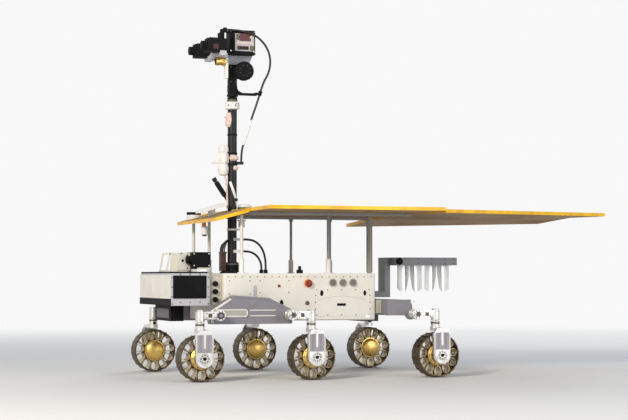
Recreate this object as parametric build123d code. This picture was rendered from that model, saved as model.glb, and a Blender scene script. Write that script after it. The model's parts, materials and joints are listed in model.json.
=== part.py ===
from build123d import *
import math
import os

# Six-wheeled planetary rover for field tests, in millimetres.
# +X is forward, +Y is the rover's left side, +Z is up. The ground is at zero height,
# and the origin lies on it under the middle of the whole rover.
# Every fore-and-aft place is written from the middle axle, and at() moves it to the origin.

# Wheels and tracks
wheel_diameter = 285.0
wheel_width = 120.0
track_width = 1200.0
front_spacing = 712.0
rear_spacing = 833.0
rim_wall = 3.0
grouser_height = 4.5
grouser_width = 5.0
grouser_count = 22
hub_radius = 74.0
flexure_count = 11
flexure_wall = 2.6
flexure_root = 1.0
flexure_band = 84.0
flexure_slim = 0.86
dome_radius = 62.0
dome_height = 26.0
dome_shoulder_radius = 52.0
dome_shoulder_height = 15.0
dome_flat_radius = 30.0
hub_ring_radius = 68.0
hub_ring_flat_radius = 50.0
hub_ring_bore = 41.0
hub_ring_height = 9.0
axle_radius = 18.0
axle_length = 46.0

# Clearances
running_gap = 0.05
face_gap = 5.0
seat_gap = 0.3

# Legs and steering motors
leg_plate_gap = 34.0
leg_plate_wall = 20.0
leg_half_width = 56.0
leg_top = 312.0
leg_over_wheel = 8.0
leg_boss_radius = 34.0
leg_boss_step = 4.0
leg_waist_margin = 6.0
groove_width = 12.0
groove_depth = 4.0
groove_offset = 24.0
groove_low = 185.0
groove_high = 285.0
steer_motor_radius = 28.0
steer_neck_height = 356.0
steer_spigot_radius = 13.0
steer_spigot_length = 26.0
steer_housing_height = 425.0
steer_cap_height = 8.0
steer_cap_inset = 8.0
bore_end_gap = 1.0

# Walking motors and bogies
walk_radius = 31.0
walk_height = 400.0
walk_cap_radius = 22.0
walk_cap_length = 12.0
walk_offset_front = 122.0
walk_offset_mid = 128.0
walk_offset_rear = 133.0
walk_beyond_wheel = 32.0
steer_arm_width = 44.0
steer_arm_wall = 46.0
steer_arm_root = 6.0
bogie_gap = 30.0
bogie_width = 80.0
bogie_bottom = 344.0
bogie_rear = 96.0
bogie_front = 622.0
bogie_rear_top = 432.0
bogie_knee = 250.0
bogie_shoulder = 470.0
bogie_top = 520.0
bogie_knee_drop = 14.0
bogie_corner = 10.0
bogie_pivot_place = 355.0
bogie_pivot_height = 450.0
bogie_pivot_radius = 40.0
rear_bogie_front = 540.0
rear_bogie_back = 670.0
rear_bogie_half = 500.0
rear_bogie_bottom = 390.0
rear_bogie_top = 490.0
rear_bogie_end_wall = 20.0
rear_bogie_corner = 12.0
walk_seat_margin = 6.0
rear_pivot_radius = 42.0
pivot_box_back = 620.0
pivot_box_half = 150.0
pivot_box_bottom = 345.0
pivot_box_top = 388.0

# Body
body_front = 510.0
body_back = 500.0
body_half_width = 410.0
body_bottom = 360.0
body_top = 645.0
body_corner = 14.0
lid_wall = 12.0
panel_wall = 3.0
panel_front = -85.0
panel_back = -470.0
panel_low = 385.0
panel_high = 562.0
panel_corner = 26.0
slot_place = -268.0
slot_height = 459.0
slot_length = 60.0
slot_width = 17.0
payload_place = -150.0
payload_spacing_x = 240.0
payload_spacing_y = 320.0
payload_hole_radius = 4.5
vent_radius = 25.0
vent_wall = 8.0
vent_rim = 5.0
vent_recess = 3.0
vent_places = (-210.0, -278.0, -346.0)
vent_height = 598.0
stop_place = -45.0
stop_height = 594.0
stop_radius = 20.0
stop_base_radius = 27.0
stop_base_wall = 8.0
stop_reach = 26.0
stop_knob_wall = 8.0
stop_stem_radius = 12.0
connector_place = -10.0
connector_half_width = 30.0
connector_length = 34.0
connector_height = 46.0
connector_inset = 80.0
connector_plug_radius = 10.0
base_socket_radius = 13.0
base_socket_height = 24.0

# Front box and neck
box_back = 600.0
box_front = 844.0
box_bottom = 457.0
box_wall_top = 657.0
box_lid_wall = 10.0
box_lid_border = 8.0
box_lid_corner = 10.0
window_back = 615.0
window_front = 832.0
window_low = 500.0
window_high = 643.0
window_depth = 22.0
window_pane = 8.0
window_corner = 8.0
face_wall = 6.0
face_border = 10.0
face_split = 500.0
neck_half_width = 380.0
neck_bottom = 466.0
neck_top = 640.0
neck_connector_place = 555.0
neck_connector_radius = 15.0
neck_connector_reach = 20.0
neck_connector_heights = (592.0, 543.0, 494.0)
lower_sensor_back = 710.0
lower_sensor_front = 795.0
lower_sensor_half = 200.0
lower_sensor_bottom = 357.0

# Forward cameras on the front box
bracket_back = 640.0
bracket_front = 800.0
bracket_half = 95.0
bracket_wall = 10.0
bracket_height = 122.0
bracket_toe = 12.0
bracket_shoulder = 60.0
nav_back = 520.0
nav_half_width = 150.0
nav_low = 695.0
nav_high = 792.0
nav_lens_radius = 24.0
nav_lens_reach = 34.0
nav_lens_offset = 122.0
nav_foot_half = 60.0
nav_foot_back = 82.0
nav_foot_front = 12.0
nav_corner = 10.0
lens_root = 2.0

# Mast
mast_place = 336.0
mast_radius = 30.0
mast_top = 1800.0
mast_flange_radius = 78.0
mast_flange_wall = 12.0
mast_sleeve_radius = 42.0
mast_sleeve_height = 60.0
mast_rib_wall = 8.0
mast_rib_inset = 6.0
mast_rib_drop = 8.0
collar_drop = 80.0
collar_length = 50.0
collar_radius = 45.0
collar_chamfer = 5.0
pan_spigot_radius = 16.0
pan_spigot_length = 34.0
clip_low = 1362.0
clip_length = 18.0
clip_wall = 7.0
clip_half = 60.0
clip_reach = 64.0
clip_ear_root = 15.0
clip_ear_inner = 14.0
clip_ear_outer = 44.0
pack_low = 1290.0
pack_length = 200.0
pack_reach = 96.0
pack_half_width = 45.0
pack_corner = 16.0
pack_chamfer = 12.0
pack_arm_rise = 86.0
pack_arm_reach = 46.0
pack_arm_radius = 9.0
pack_seat = 22.0
pack_arm_root = 48.0
strut_clamp_low = 1125.0
strut_root = 5.0
strut_radius = 9.0
strut_reach = 118.0
strut_top = 1262.0
strut_head_radius = 15.0
strut_head_half = 13.0

# Pan and tilt head: places from the tilt axis
tilt_place = 272.0
tilt_rise = 168.0
pan_base_radius = 36.0
pan_base_wall = 11.0
column_half = 25.0
column_back = 38.0
column_front = 92.0
column_top = 42.0
column_corner = 8.0
column_eye = 45.0
drum_radius = 60.0
drum_reach = 75.0
drum_chamfer = 4.0
tilt_spigot_radius = 15.0
tilt_spigot_length = 24.0
tilt_arm_wall = 12.0
tilt_arm_radius = 40.0
roof_low = 110.0
roof_wall = 12.0
roof_back = -80.0
roof_front = 200.0
roof_half = 42.0
bench_back = 158.0
bench_front = 200.0
bench_low = 80.0
bench_half = 190.0
strip_place = 115.0
strip_wall = 12.0
strip_low = -52.0
strip_inner = 33.0
strip_outer = 75.0
rear_box_back = -78.0
rear_box_front = 95.0
rear_box_top = 268.0
rear_box_half = 42.0
rear_box_corner = 8.0
gland_root = 6.0
gland_inner = 12.0
gland_neck = 40.0
gland_drop = 10.0
gland_back = 121.0
gland_front = 140.0
gland_low = 250.0
gland_high = 277.0
gland_outer = 66.0
eye_front = 282.0
eye_low = 100.0
eye_high = 188.0
eye_inner = 112.0
eye_outer = 190.0
lens_radius = 27.0
lens_reach = 34.0
scope_radius = 24.0
scope_height = 55.0
scope_front = 192.0

# Cable arm on the pan unit and the cables
cable_radius = 7.0
cable_plane = 57.0
sleeve_radius = 12.0
sleeve_length = 30.0
sleeve_x = -106.0
sleeve_z = -142.0
sleeve_lean = 17.5
arm_wall = 14.0
arm_half = 18.0
arm_web = 40.0
arm_web_inset = 8.0
arm_end_length = 26.0
arm_grip = 4.0
arm_beyond = 8.0

# Cables at the mast's foot, one row each: name, height of its clip, and its socket's place
# behind the mast and to the left
base_cable_rows = [
    ("base_cable_high", 868.0, 209.0, 60.0),
    ("base_cable_low", 791.0, 184.0, 48.0),
]

# Deck
deck_bottom = 1044.0
deck_wall = 22.0
deck_front = 358.0
deck_back = 780.0
deck_half = 470.0
wing_half = 900.0
tail_end_half = 500.0
tail_reach = 2104.5
tail_droop_left = 12.0
tail_droop_right = 50.0
flap_front = 580.0
flap_drop_back = 6.0
flap_drop_front = 66.0
mast_notch_radius = 66.0
rail_offset = 380.0
rail_width = 24.0
rail_height = 20.0
rail_back = 760.0
rail_inset = 20.0
post_radius = 9.0
socket_radius = 15.0
socket_height = 88.0
flap_post_place = 488.0
flap_post_offset = 396.0
front_post_place = 385.0
mid_post_place = -190.0
rear_post_place = -470.0

# Antennas
disc_radius = 46.0
disc_height = 40.0
disc_chamfer = 9.0
disc_gap = 19.0
plate_back = 392.0
plate_front = 556.0
plate_half = 90.0
plate_wall = 18.0
plate_lift_back = 62.0
plate_lift_front = 56.0
plate_stem_half = 20.0
plate_stem_top = 50.0
radar_front = 740.0
radar_back = 1190.0
radar_half = 150.0
radar_plate_low = 712.0
radar_plate_high = 763.0
horn_places = (902.0, 1100.0)
petal_low = 540.0
petal_wall = 4.0
petal_reach = 88.0
petal_slot_top = 5.0
petal_slot_middle = 9.0
petal_slot_low = 26.0
petal_throat = 640.0
petal_lip = 556.0
petal_corner = 16.0
petal_bow_radius = 66.0
petal_root = 2.0
radar_arm_low = 500.0
radar_arm_high = 540.0
radar_arm_half = 60.0
radar_stem_wall = 40.0
radar_corner = 20.0

# Places worked out from the sizes above
wheel_radius = wheel_diameter / 2
front_reach = front_spacing + wheel_radius
middle_axle = (tail_reach - front_reach) / 2
wheel_centre = track_width / 2
lid_top = body_top + lid_wall
deck_top = deck_bottom + deck_wall
walk_outer = wheel_centre + walk_beyond_wheel
bogie_inner = body_half_width + bogie_gap
bogie_outer = bogie_inner + bogie_width
collar_low = mast_top - collar_drop
collar_high = collar_low + collar_length
clip_high = clip_low + clip_length
pack_high = pack_low + pack_length
pack_arm_height = pack_low + pack_arm_rise
tilt_height = mast_top + tilt_rise


def at(place):
    return middle_axle + place


# One row for each wheel: name, place of its axle, side, offset of its walking motor
wheel_rows = [
    ("front_left", front_spacing, 1, -walk_offset_front),
    ("front_right", front_spacing, -1, -walk_offset_front),
    ("mid_left", 0.0, 1, walk_offset_mid),
    ("mid_right", 0.0, -1, walk_offset_mid),
    ("rear_left", -rear_spacing, 1, walk_offset_rear),
    ("rear_right", -rear_spacing, -1, walk_offset_rear),
]
parts = {}


def block(x_low, x_high, y_low, y_high, z_low, z_high):
    middle = ((x_low + x_high) / 2, (y_low + y_high) / 2, (z_low + z_high) / 2)
    return Pos(*middle) * Box(x_high - x_low, abs(y_high - y_low), z_high - z_low)


def rod(start, end, radius):
    start = Vector(*start)
    end = Vector(*end)
    way = end - start
    middle = start + way * 0.5
    return Plane(origin=middle, z_dir=way) * Cylinder(radius, way.length)


def prism(points, y_low, y_high):
    corners = [(x, y_low, z) for x, z in points]
    face = make_face(Polyline(*corners, close=True))
    return extrude(face, y_high - y_low, dir=(0, 1, 0))


def slab(points, z_low, z_high):
    corners = [(x, y, z_low) for x, y in points]
    face = make_face(Polyline(*corners, close=True))
    return extrude(face, z_high - z_low, dir=(0, 0, 1))


def mirrored(shape):
    return mirror(shape, about=Plane.XZ)


def both_sides(shape):
    return Compound(children=[shape, mirrored(shape)])


def group(shapes):
    return Compound(children=list(shapes))


# Wheels

def turned_by(point, degrees):
    angle = math.radians(degrees)
    x, y = point
    return (x * math.cos(angle) - y * math.sin(angle), x * math.sin(angle) + y * math.cos(angle))


def flat_face(points):
    return make_face(Polyline(*points, close=True))


def rim_outline():
    outer = wheel_radius - grouser_height
    step = 360 / grouser_count
    half = grouser_width / 2
    outside = []
    inside = []
    for turn in range(grouser_count):
        angle = 90 + turn * step
        for corner in ((outer, -half), (wheel_radius, -half), (wheel_radius, half), (outer, half)):
            outside.append(turned_by(corner, angle))
        inside.append(turned_by((outer - rim_wall, 0), angle))
    return flat_face(outside) - flat_face(inside)


def hub_outline(radius):
    sides = 2 * flexure_count
    step = 360 / sides
    corner = radius / math.cos(math.radians(step / 2))
    return flat_face([turned_by((corner, 0), (turn + 0.5) * step) for turn in range(sides)])


def hub_taper(low_radius, high_radius, height):
    lean = math.degrees(math.atan2(low_radius - high_radius, height))
    return extrude(hub_outline(low_radius), height, taper=lean)


def hub_dome():
    # faceted in two rings, from the hub's edge over a shoulder to the flat crown
    edge = flexure_band / 2
    skirt = hub_taper(dome_radius, dome_shoulder_radius, dome_shoulder_height)
    crown = hub_taper(dome_shoulder_radius, dome_flat_radius, dome_height - dome_shoulder_height)
    return Pos(0, 0, edge) * skirt + Pos(0, 0, edge + dome_shoulder_height) * crown


def hub_ring():
    edge = flexure_band / 2
    ring = hub_taper(hub_ring_radius, hub_ring_flat_radius, hub_ring_height)
    ring -= extrude(hub_outline(hub_ring_bore), hub_ring_height)
    return Pos(0, 0, -edge) * Rot(180, 0, 0) * ring


def flexure_outline():
    outer = wheel_radius - grouser_height - rim_wall
    centre = (outer + hub_radius) / 2
    reach = (outer - hub_radius) / 2 + flexure_root
    faces = []
    for size in (reach, reach - flexure_wall):
        corners = [turned_by((size, 0), angle) for angle in range(0, 360, 60)]
        faces.append(flat_face([(centre + x, y * flexure_slim) for x, y in corners]))
    return faces[0] - faces[1]


def left_wheel():
    tyre = extrude(rim_outline(), wheel_width / 2, both=True)
    loop = flexure_outline()
    turns = [Rot(0, 0, turn * 360 / flexure_count) * loop for turn in range(flexure_count)]
    core = extrude(hub_outline(hub_radius) + turns, flexure_band / 2, both=True)
    edge = flexure_band / 2
    axle = Pos(0, 0, -edge - axle_length / 2) * Cylinder(axle_radius, axle_length)
    return Rot(90, 0, 0) * (tyre + core + hub_dome() + hub_ring() + axle)


# Legs, steering motors and walking motors

def left_leg():
    hub_edge = flexure_band / 2
    plate_in = wheel_width / 2 + leg_plate_gap
    plate_out = plate_in + leg_plate_wall
    boss_face = hub_edge + face_gap
    x_low = -leg_half_width
    x_high = leg_half_width
    waist = steer_motor_radius + leg_waist_margin
    arm_low = wheel_diameter + leg_over_wheel
    plate = block(x_low, x_high, plate_in, plate_out, wheel_radius, leg_top - waist)
    plate += rod((0, plate_in, wheel_radius), (0, plate_out, wheel_radius), leg_half_width)
    crown = [(x_low, leg_top - waist), (x_high, leg_top - waist), (waist, leg_top), (-waist, leg_top)]
    plate += prism(crown, plate_in, plate_out)
    for offset_x in (-groove_offset, groove_offset):
        plate -= block(
            offset_x - groove_width / 2, offset_x + groove_width / 2,
            plate_out - groove_depth, plate_out, groove_low, groove_high,
        )
    arm = block(-waist, waist, 0, plate_in, arm_low, leg_top)
    arm += rod((0, 0, arm_low), (0, 0, leg_top), waist)
    motor = rod((0, 0, leg_top), (0, 0, steer_neck_height), steer_motor_radius)
    spigot_top = steer_neck_height + face_gap + steer_spigot_length
    spigot = rod((0, 0, steer_neck_height), (0, 0, spigot_top), steer_spigot_radius)
    boss = rod((0, boss_face, wheel_radius), (0, plate_in, wheel_radius), leg_boss_radius)
    boss_out = plate_out + leg_boss_step
    boss += rod((0, plate_out, wheel_radius), (0, boss_out, wheel_radius), leg_boss_radius)
    whole = plate + arm + motor + spigot + boss
    bore_end = hub_edge + axle_length + bore_end_gap
    return whole - rod(
        (0, boss_face, wheel_radius), (0, bore_end, wheel_radius), axle_radius + running_gap
    )


def steering_arm(place, side, walk):
    low = steer_neck_height + face_gap
    housing = rod((0, 0, low), (0, 0, steer_housing_height), steer_motor_radius)
    housing += rod(
        (0, 0, steer_housing_height), (0, 0, steer_housing_height + steer_cap_height),
        steer_motor_radius - steer_cap_inset,
    )
    step = 1 if walk > 0 else -1
    arm_low = walk_height - steer_arm_width / 2
    arm_high = walk_height + steer_arm_width / 2
    near = step * (steer_motor_radius - steer_arm_root)
    far = walk - step * (walk_radius + seat_gap)
    y_half = steer_arm_wall / 2
    arm = block(min(near, far), max(near, far), -y_half, y_half, arm_low, arm_high)
    whole = housing + arm
    bore = steer_spigot_radius + running_gap
    whole -= rod((0, 0, low), (0, 0, low + steer_spigot_length + bore_end_gap), bore)
    return Pos(at(place), side * wheel_centre, 0) * whole


def walking_motor(place, side, walk):
    inner = bogie_outer if place > -rear_spacing else rear_bogie_half + rear_bogie_end_wall
    x = at(place + walk)
    body = rod((x, side * inner, walk_height), (x, side * walk_outer, walk_height), walk_radius)
    body += rod(
        (x, side * walk_outer, walk_height),
        (x, side * (walk_outer + walk_cap_length), walk_height), walk_cap_radius,
    )
    return body


def side_bogie():
    outline = [
        (at(bogie_rear), bogie_bottom), (at(bogie_front), bogie_bottom),
        (at(bogie_front), bogie_rear_top), (at(bogie_shoulder), bogie_top),
        (at(bogie_knee), bogie_top - bogie_knee_drop), (at(bogie_rear), bogie_rear_top),
    ]
    beam = prism(outline, bogie_inner, bogie_outer)
    return fillet(beam.edges().filter_by(Axis.Y), bogie_corner)


def rear_bogie():
    beam = block(
        at(-rear_bogie_back), at(-rear_bogie_front), -rear_bogie_half, rear_bogie_half,
        rear_bogie_bottom, rear_bogie_top,
    )
    beam = fillet(beam.edges().filter_by(Axis.Y), rear_bogie_corner)
    end_x = at(-rear_spacing + walk_offset_rear)
    y_out = rear_bogie_half + rear_bogie_end_wall
    ear = block(end_x, at(-rear_bogie_front), rear_bogie_half, y_out, rear_bogie_bottom, rear_bogie_top)
    seat_radius = walk_radius + walk_seat_margin
    ear += rod((end_x, rear_bogie_half, walk_height), (end_x, y_out, walk_height), seat_radius)
    return beam + ear + mirrored(ear)


def bogie_pivots():
    x = at(bogie_pivot_place)
    side_pin = rod(
        (x, body_half_width, bogie_pivot_height), (x, bogie_inner, bogie_pivot_height), bogie_pivot_radius
    )
    z = (rear_bogie_bottom + rear_bogie_top) / 2
    rear_pin = rod((at(-rear_bogie_front), 0, z), (at(-body_back), 0, z), rear_pivot_radius)
    return [side_pin, mirrored(side_pin), rear_pin]


def pivot_box():
    return block(
        at(-pivot_box_back), at(-body_back), -pivot_box_half, pivot_box_half,
        pivot_box_bottom, pivot_box_top,
    )


# Body

def main_body():
    shell = block(
        at(-body_back), at(body_front), -body_half_width, body_half_width, body_bottom, body_top
    )
    shell = fillet(shell.edges().filter_by(Axis.Z), body_corner)
    return chamfer(shell.faces().sort_by(Axis.Z)[0].edges(), body_corner / 2)


def body_lid():
    lid = block(at(-body_back), at(body_front), -body_half_width, body_half_width, body_top, lid_top)
    lid = fillet(lid.edges().filter_by(Axis.Z), body_corner)
    for x_side in (-1, 1):
        for y_side in (-1, 1):
            x = at(payload_place) + x_side * payload_spacing_x / 2
            y = y_side * payload_spacing_y / 2
            lid -= rod((x, y, body_top), (x, y, lid_top), payload_hole_radius)
    return lid


def side_panel():
    y = body_half_width
    sheet = block(at(panel_back), at(panel_front), y, y + panel_wall, panel_low, panel_high)
    sheet = fillet(sheet.edges().filter_by(Axis.Y), panel_corner)
    slot = block(
        at(slot_place) - slot_length / 2, at(slot_place) + slot_length / 2, y, y + panel_wall,
        slot_height - slot_width / 2, slot_height + slot_width / 2,
    )
    return sheet - slot


def side_vents():
    y = body_half_width
    discs = []
    for place in vent_places:
        disc = rod((at(place), y, vent_height), (at(place), y + vent_wall, vent_height), vent_radius)
        disc -= rod(
            (at(place), y + vent_wall - vent_recess, vent_height),
            (at(place), y + vent_wall, vent_height), vent_radius - vent_rim,
        )
        discs.append(disc)
        discs.append(mirrored(disc))
    return group(discs)


def stop_button():
    y = body_half_width
    x = at(stop_place)
    base = rod((x, y, stop_height), (x, y + stop_base_wall, stop_height), stop_base_radius)
    knob_foot = y + stop_reach - stop_knob_wall
    stem = rod((x, y + stop_base_wall, stop_height), (x, knob_foot, stop_height), stop_stem_radius)
    knob = rod((x, knob_foot, stop_height), (x, y + stop_reach, stop_height), stop_radius)
    return both_sides(base + stem + knob)


def top_connector():
    x = at(connector_place)
    y_low = body_half_width - connector_inset
    y = y_low + connector_half_width / 2
    half_height = lid_top + connector_height / 2
    low = block(
        x - connector_length / 2, x + connector_length / 2, y_low, y_low + connector_half_width,
        lid_top, half_height,
    )
    plug = low + rod((x, y, half_height), (x, y, lid_top + connector_height), connector_plug_radius)
    sockets = [base_socket(behind, offset_y) for name, height, behind, offset_y in base_cable_rows]
    return group([plug] + sockets)


def base_socket(behind, offset_y):
    x = at(mast_place) - behind
    return rod((x, offset_y, lid_top), (x, offset_y, lid_top + base_socket_height), base_socket_radius)


# Neck and front box

def neck():
    return block(
        at(body_front), at(box_back), -neck_half_width, neck_half_width, neck_bottom, neck_top
    )


def neck_connectors():
    plugs = []
    for height in neck_connector_heights:
        x = at(neck_connector_place)
        y = neck_half_width
        plug = rod((x, y, height), (x, y + neck_connector_reach, height), neck_connector_radius)
        plugs.append(plug)
        plugs.append(mirrored(plug))
    return group(plugs)


def front_box():
    frame = block(
        at(box_back), at(box_front), -body_half_width, body_half_width, box_bottom, box_wall_top
    )
    pocket = block(
        at(window_back), at(window_front), body_half_width - window_depth, body_half_width,
        window_low, window_high,
    )
    pocket = fillet(pocket.edges().filter_by(Axis.Y), window_corner)
    return frame - pocket - mirrored(pocket)


def front_window():
    y = body_half_width - window_depth
    gap = seat_gap
    pane = block(
        at(window_back) + gap, at(window_front) - gap, y, y + window_pane,
        window_low + gap, window_high - gap,
    )
    return fillet(pane.edges().filter_by(Axis.Y), window_corner - seat_gap)


def front_face():
    return block(
        at(box_front), at(box_front) + face_wall, -body_half_width + face_border,
        body_half_width - face_border, face_split, box_wall_top - face_border,
    )


def front_band():
    return block(
        at(box_front), at(box_front) + face_wall, -body_half_width, body_half_width,
        box_bottom, face_split,
    )


def front_lid():
    border = box_lid_border
    lid = block(
        at(box_back) + border, at(box_front), -body_half_width + border, body_half_width - border,
        box_wall_top, box_wall_top + box_lid_wall,
    )
    return fillet(lid.edges().filter_by(Axis.Z), box_lid_corner)


def lower_sensor():
    return block(
        at(lower_sensor_back), at(lower_sensor_front), -lower_sensor_half, lower_sensor_half,
        lower_sensor_bottom, box_bottom,
    )


def sensor_bracket():
    base = box_wall_top + box_lid_wall
    top = base + bracket_height
    gusset = [
        (at(bracket_back), base), (at(bracket_front), base), (at(bracket_front), base + bracket_toe),
        (at(bracket_back) + bracket_shoulder, top), (at(bracket_back), top),
    ]
    ribs = prism(gusset, bracket_half - bracket_wall, bracket_half)
    ribs += mirrored(ribs)
    plate = block(
        at(bracket_back), at(bracket_back) + bracket_wall, -bracket_half, bracket_half, base, top
    )
    foot = block(
        at(bracket_back), at(bracket_front), -bracket_half, bracket_half, base, base + bracket_wall
    )
    return ribs + plate + foot


def nav_camera():
    front = at(bracket_back)
    case = block(at(nav_back), front, -nav_half_width, nav_half_width, nav_low, nav_high)
    case = fillet(case.edges().filter_by(Axis.Y), nav_corner)
    foot = block(
        at(nav_back) + nav_foot_back, front - nav_foot_front, -nav_foot_half, nav_foot_half,
        box_wall_top + box_lid_wall, nav_low + lens_root,
    )
    z = (nav_low + nav_high) / 2
    whole = case + foot
    for side in (-1, 1):
        y = side * nav_lens_offset
        whole += rod((front - lens_root, y, z), (front + nav_lens_reach, y, z), nav_lens_radius)
    return whole


# Mast

def mast_foot():
    x = at(mast_place)
    flange_top = lid_top + mast_flange_wall
    foot = rod((x, 0, lid_top), (x, 0, flange_top), mast_flange_radius)
    foot += rod((x, 0, flange_top), (x, 0, flange_top + mast_sleeve_height), mast_sleeve_radius)
    reach = mast_flange_radius - mast_rib_inset
    rib_top = flange_top + mast_sleeve_height - mast_rib_drop
    rib = prism(
        [(0, flange_top), (reach, flange_top), (reach, flange_top + mast_rib_inset),
         (mast_sleeve_radius, rib_top), (0, rib_top)],
        -mast_rib_wall / 2, mast_rib_wall / 2,
    )
    for turn in (45, 135, 225, 315):
        foot += Pos(x, 0, 0) * Rot(0, 0, turn) * rib
    bore = mast_radius + seat_gap
    return foot - rod((x, 0, lid_top), (x, 0, flange_top + mast_sleeve_height), bore)


def mast_tube():
    x = at(mast_place)
    tube = rod((x, 0, lid_top), (x, 0, mast_top), mast_radius)
    bore = pan_spigot_radius + running_gap
    bore_end = mast_top - pan_spigot_length - bore_end_gap
    return tube - rod((x, 0, bore_end), (x, 0, mast_top), bore)


def mast_collar():
    x = at(mast_place)
    ring = rod((x, 0, collar_low), (x, 0, collar_high), collar_radius)
    ring = chamfer(ring.edges(), collar_chamfer)
    return ring - rod((x, 0, collar_low), (x, 0, collar_high), mast_radius + seat_gap)


def clamp_ring(low, high):
    x = at(mast_place)
    ring = rod((x, 0, low), (x, 0, high), mast_radius + clip_wall)
    return ring - rod((x, 0, low), (x, 0, high), mast_radius + seat_gap)


def cut_for_mast(shape, low, high):
    x = at(mast_place)
    return shape - rod((x, 0, low), (x, 0, high), mast_radius + seat_gap)


def cable_clip(low):
    x = at(mast_place)
    high = low + clip_length
    behind = block(x - clip_half, x, -clip_half, clip_half, low, high)
    ear = block(x - clip_reach, x - clip_ear_root, clip_ear_inner, clip_ear_outer, low, high)
    ear = cut_for_mast(ear, low, high)
    return (clamp_ring(low, high) & behind) + ear


def mast_strut():
    x = at(mast_place)
    low = strut_clamp_low
    high = low + clip_length
    foot = Vector(x + mast_radius + strut_root, 0, (low + high) / 2)
    tip = Vector(x + strut_reach, 0, strut_top)
    end = (tip - foot).normalized() * strut_head_half
    arm = rod(tuple(foot), tuple(tip), strut_radius)
    arm += rod(tuple(tip - end), tuple(tip + end), strut_head_radius)
    return clamp_ring(low, high) + cut_for_mast(arm, low, high)


def mast_instrument():
    x = at(mast_place)
    case = block(
        x + pack_seat, x + pack_reach, -pack_half_width, pack_half_width, pack_low, pack_high
    )
    case = fillet(case.edges().filter_by(Axis.Z), pack_corner)
    case = chamfer(case.faces().sort_by(Axis.Z)[-1].edges(), pack_chamfer)
    arm = rod(
        (x + pack_reach - pack_arm_root, 0, pack_arm_height),
        (x + pack_reach + pack_arm_reach, 0, pack_arm_height), pack_arm_radius,
    )
    return cut_for_mast(case + arm, pack_low, pack_high)


# Head

def head(x, z):
    return (at(tilt_place + x), tilt_height + z)


def head_block(x_low, x_high, y_low, y_high, z_low, z_high):
    x = at(tilt_place)
    z = tilt_height
    return block(x + x_low, x + x_high, y_low, y_high, z + z_low, z + z_high)


def head_rod_y(x, z, y_low, y_high, radius):
    px, pz = head(x, z)
    return rod((px, y_low, pz), (px, y_high, pz), radius)


def pan_unit():
    x = at(mast_place)
    base_low = mast_top + face_gap
    base_high = base_low + pan_base_wall
    unit = rod((x, 0, base_low), (x, 0, base_high), pan_base_radius)
    unit += rod((x, 0, mast_top - pan_spigot_length), (x, 0, base_low), pan_spigot_radius)
    column = head_block(
        column_back, column_front, -column_half, column_half, base_high - tilt_height, column_top
    )
    unit += fillet(column.edges().filter_by(Axis.Z), column_corner)
    unit += head_rod_y(0, 0, -column_half, column_half, column_eye)
    unit += head_block(
        0, column_back + column_corner, -column_half, column_half, -column_eye, column_top
    )
    bore = tilt_spigot_radius + running_gap
    bore_end = -column_half + tilt_spigot_length + bore_end_gap
    return unit - head_rod_y(0, 0, -column_half, bore_end, bore)


def tilt_motor():
    drum = head_rod_y(0, 0, column_half, drum_reach, drum_radius)
    return chamfer(drum.edges(), drum_chamfer)


def cable_arm():
    base_high = mast_top + face_gap + pan_base_wall - tilt_height
    lean = math.radians(sleeve_lean)
    half = sleeve_length / 2
    top = head(sleeve_x - half * math.sin(lean), sleeve_z + half * math.cos(lean))
    low = head(sleeve_x + half * math.sin(lean), sleeve_z - half * math.cos(lean))
    grip = sleeve_x + sleeve_radius - arm_grip
    arm_high = base_high + arm_wall
    arm = head_block(grip, column_back, -arm_half, arm_half, base_high, arm_high)
    end = head_block(
        grip, grip + arm_end_length, -arm_half, cable_plane + arm_beyond, base_high, arm_high
    )
    web = prism(
        [head(column_back, arm_high), head(column_back, arm_high + arm_web),
         head(column_back - arm_web / 3, arm_high + arm_web / 3),
         head(column_back - arm_web, arm_high)],
        -arm_half + arm_web_inset, arm_half - arm_web_inset,
    )
    sleeve = rod((top[0], cable_plane, top[1]), (low[0], cable_plane, low[1]), sleeve_radius)
    return arm + end + web + sleeve


def tilt_frame():
    arm_out = -column_half - face_gap
    arm_end = arm_out - tilt_arm_wall
    frame = head_rod_y(0, 0, arm_end, arm_out, tilt_arm_radius)
    frame += prism(
        [head(-tilt_arm_radius, 0), head(tilt_arm_radius, 0), head(bench_front, bench_low),
         head(bench_front, roof_low + roof_wall), head(roof_back, roof_low + roof_wall),
         head(roof_back, roof_low)],
        arm_end, arm_out,
    )
    frame += head_block(roof_back, roof_front, arm_end, roof_half, roof_low, roof_low + roof_wall)
    frame += head_block(bench_back, bench_front, -bench_half, bench_half, bench_low, roof_low)
    frame += head_block(
        strip_place, strip_place + strip_wall, strip_inner, strip_outer, strip_low, roof_low
    )
    frame += head_block(
        strip_place, bench_back, strip_inner, strip_outer, bench_low, roof_low
    )
    spigot_end = -column_half + tilt_spigot_length
    return frame + head_rod_y(0, 0, arm_out, spigot_end, tilt_spigot_radius)


def rear_box():
    low = roof_low + roof_wall
    case = head_block(rear_box_back, rear_box_front, -rear_box_half, rear_box_half, low, rear_box_top)
    case = fillet(case.edges().filter_by(Axis.Y), rear_box_corner)
    case += head_block(
        rear_box_front - gland_root, gland_front, gland_inner, gland_neck, gland_low,
        rear_box_top - gland_drop,
    )
    case += head_block(gland_back, gland_front, gland_neck, gland_outer, gland_low, gland_high)
    return case


def eye_cameras():
    cameras = []
    for side in (-1, 1):
        y_low = min(side * eye_inner, side * eye_outer)
        y_high = max(side * eye_inner, side * eye_outer)
        case = head_block(bench_front, eye_front, y_low, y_high, eye_low, eye_high)
        case += head_block(bench_back, bench_front, y_low, y_high, roof_low, eye_high)
        x, z = head(eye_front, (eye_low + eye_high) / 2)
        y = side * (eye_inner + eye_outer) / 2
        case += rod((x - lens_root, y, z), (x + lens_reach, y, z), lens_radius)
        cameras.append(case)
    return cameras


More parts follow.
